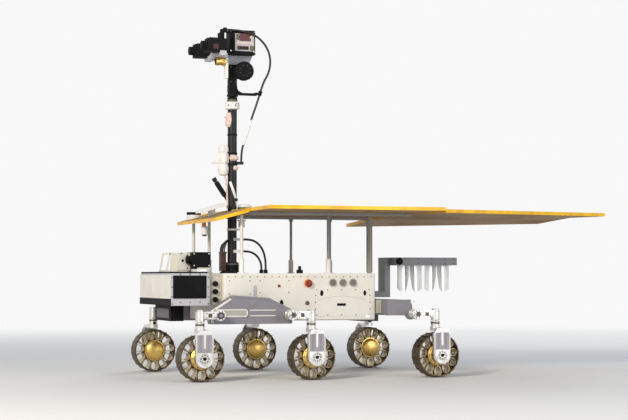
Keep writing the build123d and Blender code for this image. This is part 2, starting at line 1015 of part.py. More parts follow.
def scope():
    x_low, z = head(strip_place + strip_wall, scope_height)
    x_high = head(scope_front, scope_height)[0]
    y = (strip_inner + strip_outer) / 2
    return rod((x_low, y, z), (x_high, y, z), scope_radius)


# Deck

def flap_height(x):
    share = (x - deck_front) / (flap_front - deck_front)
    return deck_bottom - flap_drop_back - share * (flap_drop_front - flap_drop_back)


def mast_notch(shape):
    x = at(mast_place)
    return shape - rod((x, 0, lid_top), (x, 0, mast_top), mast_notch_radius)


def deck_center():
    panel = block(at(-deck_back), at(deck_front), -deck_half, deck_half, deck_bottom, deck_top)
    return mast_notch(panel)


def deck_flap():
    back = deck_front + seat_gap
    outline = [
        (at(back), flap_height(back)), (at(flap_front), flap_height(flap_front)),
        (at(flap_front), flap_height(flap_front) + deck_wall), (at(back), flap_height(back) + deck_wall),
    ]
    return mast_notch(prism(outline, -deck_half, deck_half))


def deck_wing():
    return block(
        at(-deck_back), at(deck_front), deck_half + seat_gap, wing_half, deck_bottom, deck_top
    )


def deck_tail(droop):
    back = at(-tail_reach)
    front = at(-deck_back) - seat_gap
    inner = seat_gap / 2
    shape = slab(
        [(front, inner), (front, wing_half), (back, tail_end_half), (back, inner)],
        deck_bottom, deck_top,
    )
    angle = math.degrees(math.asin(droop / wing_half))
    return shape.rotate(Axis((0, inner, deck_bottom), (1, 0, 0)), -angle)


def deck_rails():
    half = rail_width / 2
    rail = block(
        at(-rail_back), at(deck_front - rail_inset), rail_offset - half, rail_offset + half,
        deck_bottom - rail_height, deck_bottom,
    )
    return both_sides(rail)


# One row for each deck post: place, side offset, whether it ends under the flap
post_rows = [
    (front_post_place, rail_offset, True), (front_post_place, -rail_offset, True),
    (flap_post_place, -flap_post_offset, True),
    (mid_post_place, rail_offset, False), (mid_post_place, -rail_offset, False),
    (rear_post_place, rail_offset, False), (rear_post_place, -rail_offset, False),
]


def deck_posts():
    posts = []
    for place, offset_y, under_flap in post_rows:
        x = at(place)
        post = rod((x, offset_y, lid_top), (x, offset_y, deck_bottom - rail_height), post_radius)
        if under_flap:
            post = rod((x, offset_y, lid_top), (x, offset_y, deck_top), post_radius)
            outline = [
                (at(deck_front), 0), (at(flap_front), 0), (at(flap_front), flap_height(flap_front)),
                (at(deck_front), flap_height(deck_front)),
            ]
            post &= prism(outline, -wing_half, wing_half)
        post += rod((x, offset_y, lid_top), (x, offset_y, lid_top + socket_height), socket_radius)
        posts.append(post)
    return group(posts)


# Antennas

def disc_antennas():
    discs = []
    x = at(mast_place) - mast_notch_radius - disc_gap
    disc = rod((x, 0, deck_top), (x, 0, deck_top + disc_height), disc_radius)
    discs.append(chamfer(disc.faces().sort_by(Axis.Z)[-1].edges(), disc_chamfer))
    x = at(flap_post_place)
    y = -flap_post_offset
    top = flap_height(flap_post_place) + deck_wall + disc_height
    stem = rod((x, y, top - flap_drop_front - disc_height), (x, y, top), disc_radius)
    outline = [
        (at(deck_front), flap_height(deck_front) + deck_wall),
        (at(flap_front), flap_height(flap_front) + deck_wall),
        (at(flap_front), mast_top), (at(deck_front), mast_top),
    ]
    stem = chamfer(stem.faces().sort_by(Axis.Z)[-1].edges(), disc_chamfer)
    discs.append(stem & prism(outline, -wing_half, wing_half))
    return group(discs)


def plate_antenna():
    low_back = flap_height(plate_back) + deck_wall
    low_front = flap_height(plate_front) + deck_wall
    outline = [
        (at(plate_back), low_back + plate_lift_back - plate_wall),
        (at(plate_front), low_front + plate_lift_front - plate_wall),
        (at(plate_front), low_front + plate_lift_front), (at(plate_back), low_back + plate_lift_back),
    ]
    plate = prism(outline, -plate_half, plate_half)
    middle = (plate_back + plate_front) / 2
    back = middle - plate_stem_half
    front = middle + plate_stem_half
    stem_top = flap_height(middle) + deck_wall + plate_stem_top
    stem = [
        (at(back), flap_height(back) + deck_wall), (at(front), flap_height(front) + deck_wall),
        (at(front), stem_top), (at(back), stem_top),
    ]
    return plate + prism(stem, -plate_stem_half, plate_stem_half)


def petal():
    # a bowed sheet beside the horn's axis: its inner edge flares away from the slot towards the mouth
    high = radar_plate_low + petal_root
    outline = [
        (petal_slot_top, high), (petal_reach, high), (petal_reach, petal_low + petal_corner),
        (petal_reach - petal_corner, petal_low), (petal_slot_low + petal_corner, petal_low),
        (petal_slot_low, petal_lip), (petal_slot_middle, petal_throat),
    ]
    middle = (petal_slot_top + petal_reach) / 2
    half = petal_reach - middle
    sink = math.sqrt(petal_bow_radius ** 2 - half ** 2)
    outer = petal_bow_radius + petal_wall / 2
    inner = petal_bow_radius - petal_wall / 2
    bow = rod((middle, -sink, petal_low), (middle, -sink, high), outer)
    bow -= rod((middle, -sink, petal_low), (middle, -sink, high), inner)
    return bow & prism(outline, -petal_wall, outer)


def radar_antenna():
    whole = block(
        at(-radar_back), at(-radar_front), -radar_half, radar_half, radar_plate_low, radar_plate_high
    )
    whole = fillet(whole.edges().filter_by(Axis.Z), radar_corner)
    blade = petal()
    for place in horn_places:
        for turn in range(4):
            whole += Pos(at(-place), 0, 0) * Rot(0, 0, turn * 90) * blade
    return whole


def radar_mount():
    arm = block(
        at(-radar_front), at(-body_back), -radar_arm_half, radar_arm_half, radar_arm_low, radar_arm_high
    )
    stem = block(
        at(-radar_front), at(-radar_front) + radar_stem_wall, -radar_arm_half, radar_arm_half,
        radar_arm_low, radar_plate_high,
    )
    return arm + stem


# Cables: each is a list of points joined by runs and arcs

def cable(points, radius, name):
    radii = []
    for before, point, after in zip(points, points[1:], points[2:]):
        run_in = Vector(*point) - Vector(*before)
        run_out = Vector(*after) - Vector(*point)
        turn = math.radians(run_in.get_angle(run_out))
        radii.append(0.45 * min(run_in.length, run_out.length) / math.tan(turn / 2))
    path = FilletPolyline(*points, radius=radii)
    face = Plane(origin=path @ 0, z_dir=path % 0) * Circle(radius)
    tube = sweep(face, path=path)
    expected = math.pi * radius ** 2 * path.length
    print(name, "length", round(path.length, 1), "radii", [round(r) for r in radii],
          "volume share", round(tube.volume / expected, 4))
    return tube


def head_loop():
    lean = math.radians(sleeve_lean)
    half = sleeve_length / 2
    end = (sleeve_x - half * math.sin(lean), sleeve_z + half * math.cos(lean))
    last = (end[0] - 64 * math.sin(lean), end[1] + 64 * math.cos(lean))
    route = [
        (gland_back, 264.0), (62.0, 264.0), (2.0, 258.0), (-58.0, 243.0), (-114.0, 208.0),
        (-156.0, 156.0), (-177.0, 92.0), (-174.0, 26.0), (-156.0, -26.0), last, end,
    ]
    points = []
    for x, z in route:
        px, pz = head(x, z)
        points.append((px, cable_plane, pz))
    return points


def mast_loop():
    lean = math.radians(sleeve_lean)
    half = sleeve_length / 2
    start = head(sleeve_x + half * math.sin(lean), sleeve_z - half * math.cos(lean))
    next_x = start[0] + 66 * math.sin(lean)
    next_z = start[1] - 66 * math.cos(lean)
    x = at(mast_place)
    return [
        (start[0], cable_plane, start[1]), (next_x, cable_plane, next_z),
        (x - 118, 52, 1672), (x - 98, 46, 1596), (x - 76, 40, 1524), (x - 52, 30, 1454),
        (x - 52, 30, clip_high),
    ]


def base_loop(name, clip_height, behind, offset_y):
    x = at(mast_place)
    y = (clip_ear_inner + clip_ear_outer) / 2
    z = clip_height + clip_length / 2
    top = lid_top + base_socket_height
    routes = {
        "base_cable_high": [
            (x - 108, y, z), (x - 149, 35, z - 13), (x - 181, 42, z - 44), (x - 200, 50, z - 85),
            (x - 208, 57, z - 132), (x - behind, offset_y, top + 31),
        ],
        "base_cable_low": [
            (x - 100, y, z), (x - 134, 32, z - 11), (x - 162, 37, z - 34), (x - 179, 42, z - 66),
            (x - behind, offset_y, top + 26),
        ],
    }
    return [(x - clip_reach, y, z)] + routes[name] + [(x - behind, offset_y, top)]


def build():
    parts["main_body"] = main_body()
    parts["body_lid"] = body_lid()
    parts["side_panels"] = both_sides(side_panel())
    parts["side_vents"] = side_vents()
    parts["stop_buttons"] = stop_button()
    parts["top_connector"] = top_connector()
    parts["neck"] = neck()
    parts["neck_connectors"] = neck_connectors()
    parts["front_box"] = front_box()
    parts["front_windows"] = both_sides(front_window())
    parts["front_face"] = front_face()
    parts["front_band"] = front_band()
    parts["front_lid"] = front_lid()
    parts["lower_sensor"] = lower_sensor()
    parts["sensor_bracket"] = sensor_bracket()
    parts["nav_camera"] = nav_camera()
    parts["mast_foot"] = mast_foot()
    parts["mast_tube"] = mast_tube()
    clips = [cable_clip(clip_low)] + [cable_clip(row[1]) for row in base_cable_rows]
    parts["mast_clamps"] = group([mast_collar(), mast_strut()] + clips)
    parts["mast_instrument"] = mast_instrument()
    parts["pan_unit"] = pan_unit()
    parts["tilt_motor"] = tilt_motor()
    parts["cable_arm"] = cable_arm()
    parts["tilt_frame"] = tilt_frame()
    parts["rear_box"] = rear_box()
    parts["mast_cameras"] = group(eye_cameras() + [scope()])
    parts["deck_center"] = deck_center()
    parts["deck_flap"] = deck_flap()
    parts["deck_wing_left"] = deck_wing()
    parts["deck_wing_right"] = mirrored(deck_wing())
    parts["deck_tail_left"] = deck_tail(tail_droop_left)
    parts["deck_tail_right"] = mirrored(deck_tail(tail_droop_right))
    parts["deck_rails"] = deck_rails()
    parts["deck_posts"] = deck_posts()
    parts["disc_antennas"] = disc_antennas()
    parts["plate_antenna"] = plate_antenna()
    parts["radar_antenna"] = radar_antenna()
    parts["radar_mount"] = radar_mount()
    parts["bogie_left"] = side_bogie()
    parts["bogie_right"] = mirrored(side_bogie())
    parts["rear_bogie"] = rear_bogie()
    parts["bogie_pivots"] = group(bogie_pivots() + [pivot_box()])
    parts["walking_motors"] = group([walking_motor(p, s, w) for n, p, s, w in wheel_rows])
    parts["steering_arms"] = group([steering_arm(p, s, w) for n, p, s, w in wheel_rows])
    legs = {1: left_leg(), -1: mirrored(left_leg())}
    wheels = {1: left_wheel(), -1: mirrored(left_wheel())}
    for name, place, side, walk in wheel_rows:
        parts["leg_" + name] = Pos(at(place), side * wheel_centre, 0) * legs[side]
        parts["wheel_" + name] = Pos(at(place), side * wheel_centre, wheel_radius) * wheels[side]
    parts["head_cable"] = cable(head_loop(), cable_radius, "head_cable")
    parts["mast_cable"] = cable(mast_loop(), cable_radius, "mast_cable")
    for row in base_cable_rows:
        parts[row[0]] = cable(base_loop(*row), cable_radius, row[0])


build()
os.makedirs("parts", exist_ok=True)
for node, shape in parts.items():
    export_step(shape, "parts/" + node + ".step")
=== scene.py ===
import bmesh
import bpy
import json
import math
from mathutils import Matrix, Vector


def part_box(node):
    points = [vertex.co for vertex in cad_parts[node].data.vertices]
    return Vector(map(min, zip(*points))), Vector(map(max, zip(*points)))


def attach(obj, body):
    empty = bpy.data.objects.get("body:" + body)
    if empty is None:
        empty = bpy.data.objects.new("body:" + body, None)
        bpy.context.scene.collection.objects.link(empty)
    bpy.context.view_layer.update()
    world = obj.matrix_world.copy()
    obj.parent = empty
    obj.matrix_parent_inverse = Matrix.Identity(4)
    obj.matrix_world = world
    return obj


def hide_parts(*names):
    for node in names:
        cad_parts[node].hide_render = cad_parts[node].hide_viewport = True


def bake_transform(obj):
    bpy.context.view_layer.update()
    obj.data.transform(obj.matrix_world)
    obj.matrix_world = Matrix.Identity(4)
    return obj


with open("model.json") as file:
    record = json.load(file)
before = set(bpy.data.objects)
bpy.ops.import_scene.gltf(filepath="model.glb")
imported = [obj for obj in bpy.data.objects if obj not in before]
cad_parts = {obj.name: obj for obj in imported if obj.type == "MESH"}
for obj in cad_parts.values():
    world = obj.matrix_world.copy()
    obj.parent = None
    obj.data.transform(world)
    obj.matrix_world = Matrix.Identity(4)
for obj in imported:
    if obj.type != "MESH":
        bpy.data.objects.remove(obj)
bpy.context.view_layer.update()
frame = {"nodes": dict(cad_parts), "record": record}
print("stage: frame loaded")

# Six-wheeled planetary rover, in metres. +X is forward, +Y is the rover's left, +Z is up.
rover = {
    "middleAxle": 0.625,
    "wheelRadius": 0.1425,
    "wheelCentre": 0.6,
    "wheels": {
        "front_left": (0.712, 1), "front_right": (0.712, -1), "mid_left": (0.0, 1),
        "mid_right": (0.0, -1), "rear_left": (-0.833, 1), "rear_right": (-0.833, -1),
    },
}
alongX = Vector((1, 0, 0))
alongY = Vector((0, 1, 0))
alongZ = Vector((0, 0, 1))
sharpAngle = math.radians(32)


def linked(name, data):
    made = bpy.data.objects.new(name, data)
    bpy.context.scene.collection.objects.link(made)
    return made


# Shader maths: a wire is one socket, and an expression on wires adds its nodes

class Wire:
    def __init__(self, finish, socket):
        self.finish = finish
        self.socket = socket

    def calc(self, operation, other, turned=False):
        first, second = (other, self) if turned else (self, other)
        return self.finish.add("ShaderNodeMath", {"operation": operation}, {0: first, 1: second})

    def __add__(self, other):
        return self.calc("ADD", other)

    def __sub__(self, other):
        return self.calc("SUBTRACT", other)

    def __rsub__(self, other):
        return self.calc("SUBTRACT", other, True)

    def __mul__(self, other):
        return self.calc("MULTIPLY", other)

    __radd__ = __add__
    __rmul__ = __mul__


class Finish:
    def __init__(self, name, metallic=0.0):
        self.material = bpy.data.materials.new(name)
        self.material.use_nodes = True
        self.nodes = self.material.node_tree.nodes
        self.links = self.material.node_tree.links
        self.shader = self.nodes["Principled BSDF"]
        self.shader.inputs["Metallic"].default_value = metallic
        self.place = self.add("ShaderNodeTexCoord", {}, {}, "Object")
        self.facing = self.add("ShaderNodeTexCoord", {}, {}, "Normal")

    def add(self, kind, settings, values, output=0):
        node = self.nodes.new(kind)
        for key, value in settings.items():
            setattr(node, key, value)
        for key, value in values.items():
            self.feed(node.inputs[key], value)
        return Wire(self, node.outputs[output])

    def feed(self, socket, value):
        if isinstance(value, Wire):
            self.links.new(value.socket, socket)
        elif socket.type == "RGBA":
            socket.default_value = (*value, 1)
        else:
            socket.default_value = value

    def set(self, name, value):
        self.feed(self.shader.inputs[name], value)

    def noise(self, scale, detail=3.0, stretch=(1, 1, 1)):
        placed = self.add("ShaderNodeVectorMath", {"operation": "MULTIPLY"}, {0: self.place, 1: stretch})
        values = {"Vector": placed, "Scale": scale, "Detail": detail, "Roughness": 0.55}
        return self.add("ShaderNodeTexNoise", {}, values)

    def between(self, wire, low, high, start=0.0, end=1.0):
        values = {"Value": wire, "From Min": low, "From Max": high, "To Min": start, "To Max": end}
        return self.add("ShaderNodeMapRange", {"interpolation_type": "SMOOTHSTEP"}, values)

    def mix(self, share, first, second):
        return self.add("ShaderNodeMix", {"data_type": "RGBA"}, {0: share, 6: first, 7: second}, 2)

    def part(self, wire, axis):
        return self.add("ShaderNodeSeparateXYZ", {}, {0: wire}, axis)

    def bump(self, height, distance, strength=1.0):
        values = {"Height": height, "Distance": distance, "Strength": strength}
        self.set("Normal", self.add("ShaderNodeBump", {}, values))


dustColour = (0.46, 0.34, 0.2)


def scaled(colour, share):
    return tuple(channel * share for channel in colour)


def dusted(finish, base, amount, reach=0.45):
    # sets the colour under dust, which lies on what faces up and gathers towards the ground
    height = finish.between(finish.part(finish.place, 2), 0.0, reach, 1.0, 0.0)
    upward = finish.between(finish.part(finish.facing, 2), 0.25, 1.0, 0.0, 0.75)
    patch = finish.between(finish.noise(34.0, 5.0), 0.36, 0.68)
    speck = finish.between(finish.noise(420.0, 2.0), 0.45, 0.75, 0.35, 1.0)
    dusty = (height + upward) * patch * speck * amount
    finish.set("Base Color", finish.mix(dusty, base, dustColour))
    return dusty


def painted(name, colour, rough, dust, worn=0.5):
    finish = Finish(name)
    cloudy = finish.between(finish.noise(6.0, 4.0), 0.3, 0.72)
    base = finish.mix(cloudy * 0.55, colour, scaled(colour, 0.86))
    chips = finish.between(finish.noise(150.0, 6.0), 0.7, 0.74) * finish.noise(11.0) * worn
    base = finish.mix(chips, base, (0.34, 0.33, 0.32))
    dusty = dusted(finish, base, dust)
    finish.set("Roughness", finish.noise(60.0) * 0.12 + dusty * 0.4 + rough)
    finish.bump(finish.noise(900.0, 2.0) + finish.noise(90.0) * 0.6 - chips, 0.0004, 0.28)
    return finish.material


def metal(name, colour, rough, dust, brushed=(1, 1, 12), metallic=1.0):
    finish = Finish(name, metallic)
    streak = finish.noise(120.0, 4.0, brushed)
    tone = finish.between(finish.noise(9.0, 4.0), 0.3, 0.7)
    base = finish.mix(tone * 0.5, colour, scaled(colour, 0.74))
    scratch = finish.between(finish.noise(260.0, 2.0, brushed), 0.62, 0.7)
    base = finish.mix(scratch * 0.35, base, tuple(min(1, channel * 1.3) for channel in colour))
    dusty = dusted(finish, base, dust)
    finish.set("Roughness", streak * 0.16 + dusty * 0.45 + rough)
    finish.set("Metallic", (1 - dusty) * metallic)
    finish.bump(streak + scratch * 0.5, 0.0003, 0.35)
    return finish.material


def plastic(name, colour, rough, dust, grain=1200.0, coat=0.0, gloss=0.5):
    finish = Finish(name)
    finish.shader.inputs["Coat Weight"].default_value = coat
    finish.shader.inputs["Specular IOR Level"].default_value = gloss
    worn = finish.between(finish.noise(14.0, 5.0), 0.45, 0.75)
    base = finish.mix(worn * 0.4, colour, tuple(channel * 1.5 + 0.003 for channel in colour))
    dusty = dusted(finish, base, dust)
    finish.set("Roughness", worn * 0.1 + dusty * 0.4 + rough)
    finish.bump(finish.noise(grain, 2.0), 0.0002, 0.3)
    return finish.material


def carbonTube(name, colour):
    finish = Finish(name)
    finish.shader.inputs["Specular IOR Level"].default_value = 0.28
    across = finish.part(finish.place, 0) + finish.part(finish.place, 1)
    weave = finish.add("ShaderNodeMath", {"operation": "SINE"}, {0: across * 2600.0})
    rows = finish.add("ShaderNodeMath", {"operation": "SINE"}, {0: finish.part(finish.place, 2) * 1900.0})
    twill = finish.between(weave * rows, -0.4, 0.4)
    dusted(finish, finish.mix(twill, colour, scaled(colour, 2.0)), 0.14, 1.2)
    finish.set("Roughness", twill * 0.12 + finish.noise(30.0) * 0.1 + 0.26)
    finish.bump(twill, 0.0002, 0.3)
    return finish.material


def panelSheet(name, colour):
    # core board: two crossing rows of fine cells under a matt skin, with stains
    finish = Finish(name)
    finish.shader.inputs["Specular IOR Level"].default_value = 0.22
    cells = finish.add("ShaderNodeTexVoronoi", {"feature": "DISTANCE_TO_EDGE"},
                       {"Vector": finish.place, "Scale": 110.0})
    wall = finish.between(cells, 0.0, 0.09, 1.0, 0.0)
    stain = finish.between(finish.noise(3.2, 6.0), 0.35, 0.7)
    streak = finish.between(finish.noise(7.0, 4.0, (1, 9, 1)), 0.45, 0.7)
    base = finish.mix(stain * 0.6, colour, scaled(colour, 0.62))
    base = finish.mix(streak * 0.25, base, scaled(colour, 1.45))
    base = finish.mix(wall * 0.22, base, scaled(colour, 0.5))
    dusted(finish, base, 0.55)
    finish.set("Roughness", stain * 0.15 + wall * 0.1 + 0.5)
    finish.bump(wall * 0.5 + stain, 0.0005, 0.35)
    return finish.material


def foilTape(name, colour):
    # polyimide edge tape: wrinkled, glossy, a little uneven in tone
    finish = Finish(name, 0.35)
    finish.shader.inputs["Coat Weight"].default_value = 0.12
    crease = finish.noise(75.0, 5.0, (1, 2.5, 1))
    tone = finish.between(finish.noise(12.0, 4.0), 0.3, 0.7)
    base = finish.mix(tone, colour, (colour[0] * 0.82, colour[1] * 0.66, colour[2] * 0.8))
    finish.set("Base Color", base)
    finish.set("Roughness", crease * 0.2 + 0.38)
    finish.bump(crease + finish.noise(300.0) * 0.3, 0.0016, 0.5)
    return finish.material


def wrapCloth(name, colour):
    finish = Finish(name)
    fold = finish.noise(26.0, 5.0)
    weave = finish.noise(900.0, 2.0)
    stain = finish.between(finish.noise(18.0, 4.0), 0.4, 0.75)
    base = finish.mix(stain * 0.5, colour, (colour[0] * 0.84, colour[1] * 0.74, colour[2] * 0.7))
    finish.set("Base Color", base)
    finish.set("Roughness", weave * 0.1 + 0.7)
    finish.bump(fold + weave * 0.1, 0.003, 0.55)
    return finish.material


# each finish: its maker, its material's name, its colour and the maker's other values
finishes = {
    "body": (painted, "body_white_paint", (0.8, 0.765, 0.69), 0.4, 0.75),
    "frame": (painted, "frame_grey_paint", (0.5, 0.49, 0.52), 0.36, 0.5),
    "bogie": (painted, "bogie_grey_paint", (0.215, 0.205, 0.235), 0.38, 0.8),
    "bogieLight": (painted, "bogie_light_panel", (0.4, 0.385, 0.34), 0.36, 0.7),
    "channel": (painted, "leg_channel_grey", (0.33, 0.315, 0.355), 0.34, 0.5),
    "neck": (painted, "neck_olive_paint", (0.54, 0.5, 0.41), 0.42, 0.6),
    "bright": (metal, "machined_metal", (0.8, 0.79, 0.77), 0.24, 0.7),
    "silver": (metal, "rolled_silver_sheet", (0.86, 0.86, 0.85), 0.22, 0.1, (1, 1, 3), 0.85),
    "strip": (metal, "spring_strip", (0.62, 0.5, 0.3), 0.28, 0.32, (1, 1, 1)),
    "steel": (metal, "dark_spring_steel", (0.1, 0.085, 0.065), 0.34, 0.5, (1, 1, 1)),
    "wheel": (metal, "dusty_bronze_rim", (0.085, 0.06, 0.034), 0.4, 0.5, (1, 6, 1)),
    "pivot": (painted, "pivot_purple_paint", (0.085, 0.07, 0.095), 0.42, 0.4),
    "postSleeve": (painted, "post_olive_sleeve", (0.3, 0.275, 0.225), 0.5, 0.4),
    "gold": (metal, "gold_anodised", (0.88, 0.58, 0.17), 0.2, 0.55, (1, 1, 1)),
    "post": (metal, "dull_post_tube", (0.3, 0.285, 0.27), 0.42, 0.3),
    "radar": (painted, "radar_grey_paint", (0.27, 0.275, 0.285), 0.42, 0.4),
    "mast": (carbonTube, "mast_black_tube", (0.007, 0.007, 0.008)),
    "black": (plastic, "fitting_black", (0.008, 0.008, 0.009), 0.66, 0.1, 1200.0, 0.0, 0.12),
    "window": (plastic, "window_black_gloss", (0.002, 0.0015, 0.0018), 0.12, 0.05, 30.0, 0.0, 0.16),
    "lens": (plastic, "coated_lens", (0.01, 0.008, 0.02), 0.05, 0.0, 30.0, 1.0),
    "fold": (wrapCloth, "pink_folded_cloth", (0.78, 0.6, 0.54)),
    "brown": (plastic, "brown_junction_box", (0.06, 0.022, 0.016), 0.45, 0.3, 900.0, 0.0, 0.3),
    "olive": (plastic, "olive_cover", (0.1, 0.105, 0.045), 0.45, 0.1),
    "red": (plastic, "stop_red_gloss", (0.21, 0.006, 0.005), 0.4, 0.15, 300.0, 0.1),
    "darkRed": (plastic, "dark_red_cover", (0.085, 0.007, 0.012), 0.35, 0.2),
    "vent": (plastic, "vent_grey_mesh", (0.36, 0.335, 0.29), 0.6, 0.4),
    "white": (plastic, "white_moulding", (0.8, 0.79, 0.76), 0.38, 0.3),
    "orange": (plastic, "orange_moulding", (0.8, 0.25, 0.03), 0.4, 0.2),
    "cable": (plastic, "cable_rubber", (0.012, 0.012, 0.013), 0.5, 0.3),
    # the deck board's colour is its own brown, raised and warmed with painted warm bounce light from the
    # ground
    "deck": (panelSheet, "deck_panel_board", (0.36, 0.215, 0.075)),
    "tape": (foilTape, "deck_edge_tape", (0.92, 0.56, 0.015)),
    "wrap": (wrapCloth, "white_blanket", (0.84, 0.79, 0.75)),
}
paint = {key: maker(*values) for key, (maker, *values) in finishes.items()}
print("stage: finishes made")


# Shapes: closed forms gathered into one mesh, each with its own finish

def squareTo(axis):
    axis = axis.normalized()
    side = axis.cross(alongZ if abs(axis.z) < 0.9 else alongX).normalized()
    return side, axis.cross(side)


bothSides = [(side, Vector((0, side, 0))) for side in (-1, 1)]
backward = Vector((-1, 0, 0))


def turns(count, shift=0.0):
    return [2 * math.pi * (i + shift) / count for i in range(count)]


def upright(x, y, z):
    return Matrix.Translation((x, y, z)) @ Matrix.Rotation(math.pi / 2, 4, "X")


def span(face, side, inner, outer):
    # the Y values of a thin part that stands on a face, lowest first
    return sorted((face + inner * side, face + outer * side))


class Shape:
    def __init__(self, finish):
        self.mesh = bmesh.new()
        self.finishes = []
        self.use(finish)

    def use(self, finish):
        # a name from the table, or a material
        finish = paint.get(finish, finish) if isinstance(finish, str) else finish
        if finish not in self.finishes:
            self.finishes.append(finish)
        self.index = self.finishes.index(finish)
        return self

    def face(self, corners):
        self.mesh.faces.new(corners).material_index = self.index

    def skin(self, rings, capped=True):
        for first, second in zip(rings, rings[1:]):
            for i in range(len(first)):
                j = (i + 1) % len(first)
                self.face((first[i], first[j], second[j], second[i]))
        if capped:
            self.face(rings[0])
            self.face(rings[-1])

    def add(self, points, faces):
        corners = [self.mesh.verts.new(point) for point in points]
        for face in faces:
            self.face([corners[i] for i in face])

    def block(self, low, high):
        points = [(x, y, z) for x in (low[0], high[0]) for y in (low[1], high[1]) for z in (low[2], high[2])]
        self.add(points, [(0, 1, 3, 2), (4, 6, 7, 5), (0, 4, 5, 1), (2, 3, 7, 6), (0, 2, 6, 4), (1, 5, 7, 3)])

    def turned(self, profile, start, axis, sides=32, closed=False):
        # profile holds (distance along the axis, radius); a closed one is a ring's section
        axis = Vector(axis).normalized()
        side, up = squareTo(axis)
        rings = []
        for along, radius in profile:
            middle = Vector(start) + axis * along
            if radius < 1e-6:
                rings.append([self.mesh.verts.new(middle)])
                continue
            spokes = [side * math.cos(a) + up * math.sin(a) for a in turns(sides)]
            rings.append([self.mesh.verts.new(middle + spoke * radius) for spoke in spokes])
        pairs = list(zip(rings, rings[1:]))
        if closed:
            pairs.append((rings[-1], rings[0]))
        for first, second in pairs:
            for i in range(sides):
                j = (i + 1) % sides
                corners = [first[i % len(first)], first[j % len(first)]]
                corners += [second[j % len(second)], second[i % len(second)]]
                corners = list(dict.fromkeys(corners))
                if len(corners) > 2:
                    self.face(corners)
        if not closed:
            for ring in (rings[0], rings[-1]):
                if len(ring) > 1:
                    self.face(ring)

    def band(self, inner, outer, height, start, axis, sides, slope=0.0, along=0.0):
        # a closed ring that stands on a round part
        end = along + height
        profile = [(along, inner), (along + slope, outer), (end - slope, outer), (end, inner)]
        self.turned(profile, start, axis, sides, True)

    def rod(self, start, end, radius, sides=24, edge=0.0):
        way = Vector(end) - Vector(start)
        long = way.length
        profile = [(0, radius), (long, radius)]
        if edge:
            profile = [(0, radius - edge), (edge, radius), (long - edge, radius), (long, radius - edge)]
        self.turned(profile, start, way, sides)

    def plate(self, outline, depth, place):
        # outline lies in the matrix's XY plane and depth goes along its Z
        count = len(outline)
        points = [place @ Vector((x, y, 0)) for x, y in outline]
        points += [place @ Vector((x, y, depth)) for x, y in outline]
        sides = [(i, (i + 1) % count, count + (i + 1) % count, count + i) for i in range(count)]
        self.add(points, [tuple(range(count)), tuple(range(count, 2 * count))] + sides)

    def tube(self, points, radius, sides=12):
        # a bent rod through points, each ring square to the way ahead
        points = [Vector(point) for point in points]
        rings = []
        side = squareTo(points[1] - points[0])[0]
        for i, point in enumerate(points):
            ahead = (points[min(i + 1, len(points) - 1)] - points[max(i - 1, 0)]).normalized()
            side = (side - ahead * side.dot(ahead)).normalized()
            up = ahead.cross(side)
            rings.append([self.mesh.verts.new(point + (side * math.cos(a) + up * math.sin(a)) * radius)
                          for a in turns(sides)])
        self.skin(rings)

    def copyOf(self, node):
        # a CAD node's mesh is loose triangles: merged, then its flat faces made whole
        before = set(self.mesh.faces)
        self.mesh.from_mesh(frame["nodes"][node].data)
        fresh = [face for face in self.mesh.faces if face not in before]
        for face in fresh:
            face.material_index = self.index
        corners = list({corner for face in fresh for corner in face.verts})
        bmesh.ops.remove_doubles(self.mesh, verts=corners, dist=1e-5)
        corners = [corner for corner in corners if corner.is_valid]
        edges = list({edge for corner in corners for edge in corner.link_edges})
        bmesh.ops.dissolve_limit(self.mesh, angle_limit=math.radians(0.8), verts=corners, edges=edges)

    def tint(self, finish, test):
        # another finish on the faces whose middle passes the test
        self.use(finish)
        for face in self.mesh.faces:
            if test(face.calc_center_median()):
                face.material_index = self.index

    def soft(self, rows, columns=32, folds=((5, 7, 0.05), (11, -15, 0.03)), between=4):
        # a closed soft body through level sections: (x, y, z, half along X, half along Y)
        levels = []
        for first, second in zip(rows, rows[1:]):
            for i in range(between):
                share = 0.5 - 0.5 * math.cos(math.pi * i / between)
                levels.append([a + (b - a) * share for a, b in zip(first, second)])
        levels.append(list(rows[-1]))
        rings = []
        for j, (x, y, z, wide, deep) in enumerate(levels):
            share = j / (len(levels) - 1)
            ring = []
            for angle in turns(columns):
                fold = 1
                for count, turn, size in folds:
                    fold += size * (math.sin(count * angle + turn * share) - 1)
                point = (x + math.cos(angle) * wide * fold, y + math.sin(angle) * deep * fold, z)
                ring.append(self.mesh.verts.new(point))
            rings.append(ring)
        self.skin(rings)

    def place(self, matrix):
        bmesh.ops.transform(self.mesh, matrix=matrix, verts=self.mesh.verts)

    def join(self, mesh):
        # another mesh's faces, with its finishes
        held = set(self.mesh.faces)
        self.mesh.from_mesh(mesh)
        for face in self.mesh.faces:
            if face not in held:
                self.use(mesh.materials[face.material_index])
                face.material_index = self.index

    def plain(self, name):
        bmesh.ops.recalc_face_normals(self.mesh, faces=self.mesh.faces)
        made = bpy.data.meshes.new(name)
        self.mesh.to_mesh(made)
        self.mesh.free()
        for finish in self.finishes:
            made.materials.append(finish)
        made.shade_smooth()
        made.set_sharp_from_angle(angle=sharpAngle)
        return made

    def screws(self, places, radius, height, finish="steel"):
        self.join(screwMesh(places, radius, height, paint[finish]))

    def piece(self, name, body, slot, replaces=(), bevel=0.0):
        made = linked(name, self.plain(name))
        if bevel:
            edge = made.modifiers.new("edges", "BEVEL")
            edge.width = bevel
            edge.segments = 2
            edge.limit_method = "ANGLE"
            edge.angle_limit = sharpAngle
            edge.harden_normals = True
        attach(made, body)
        if replaces:
            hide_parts(*replaces)
        return made


# Geometry Nodes: a ring of copies about Y, and a screw on each point

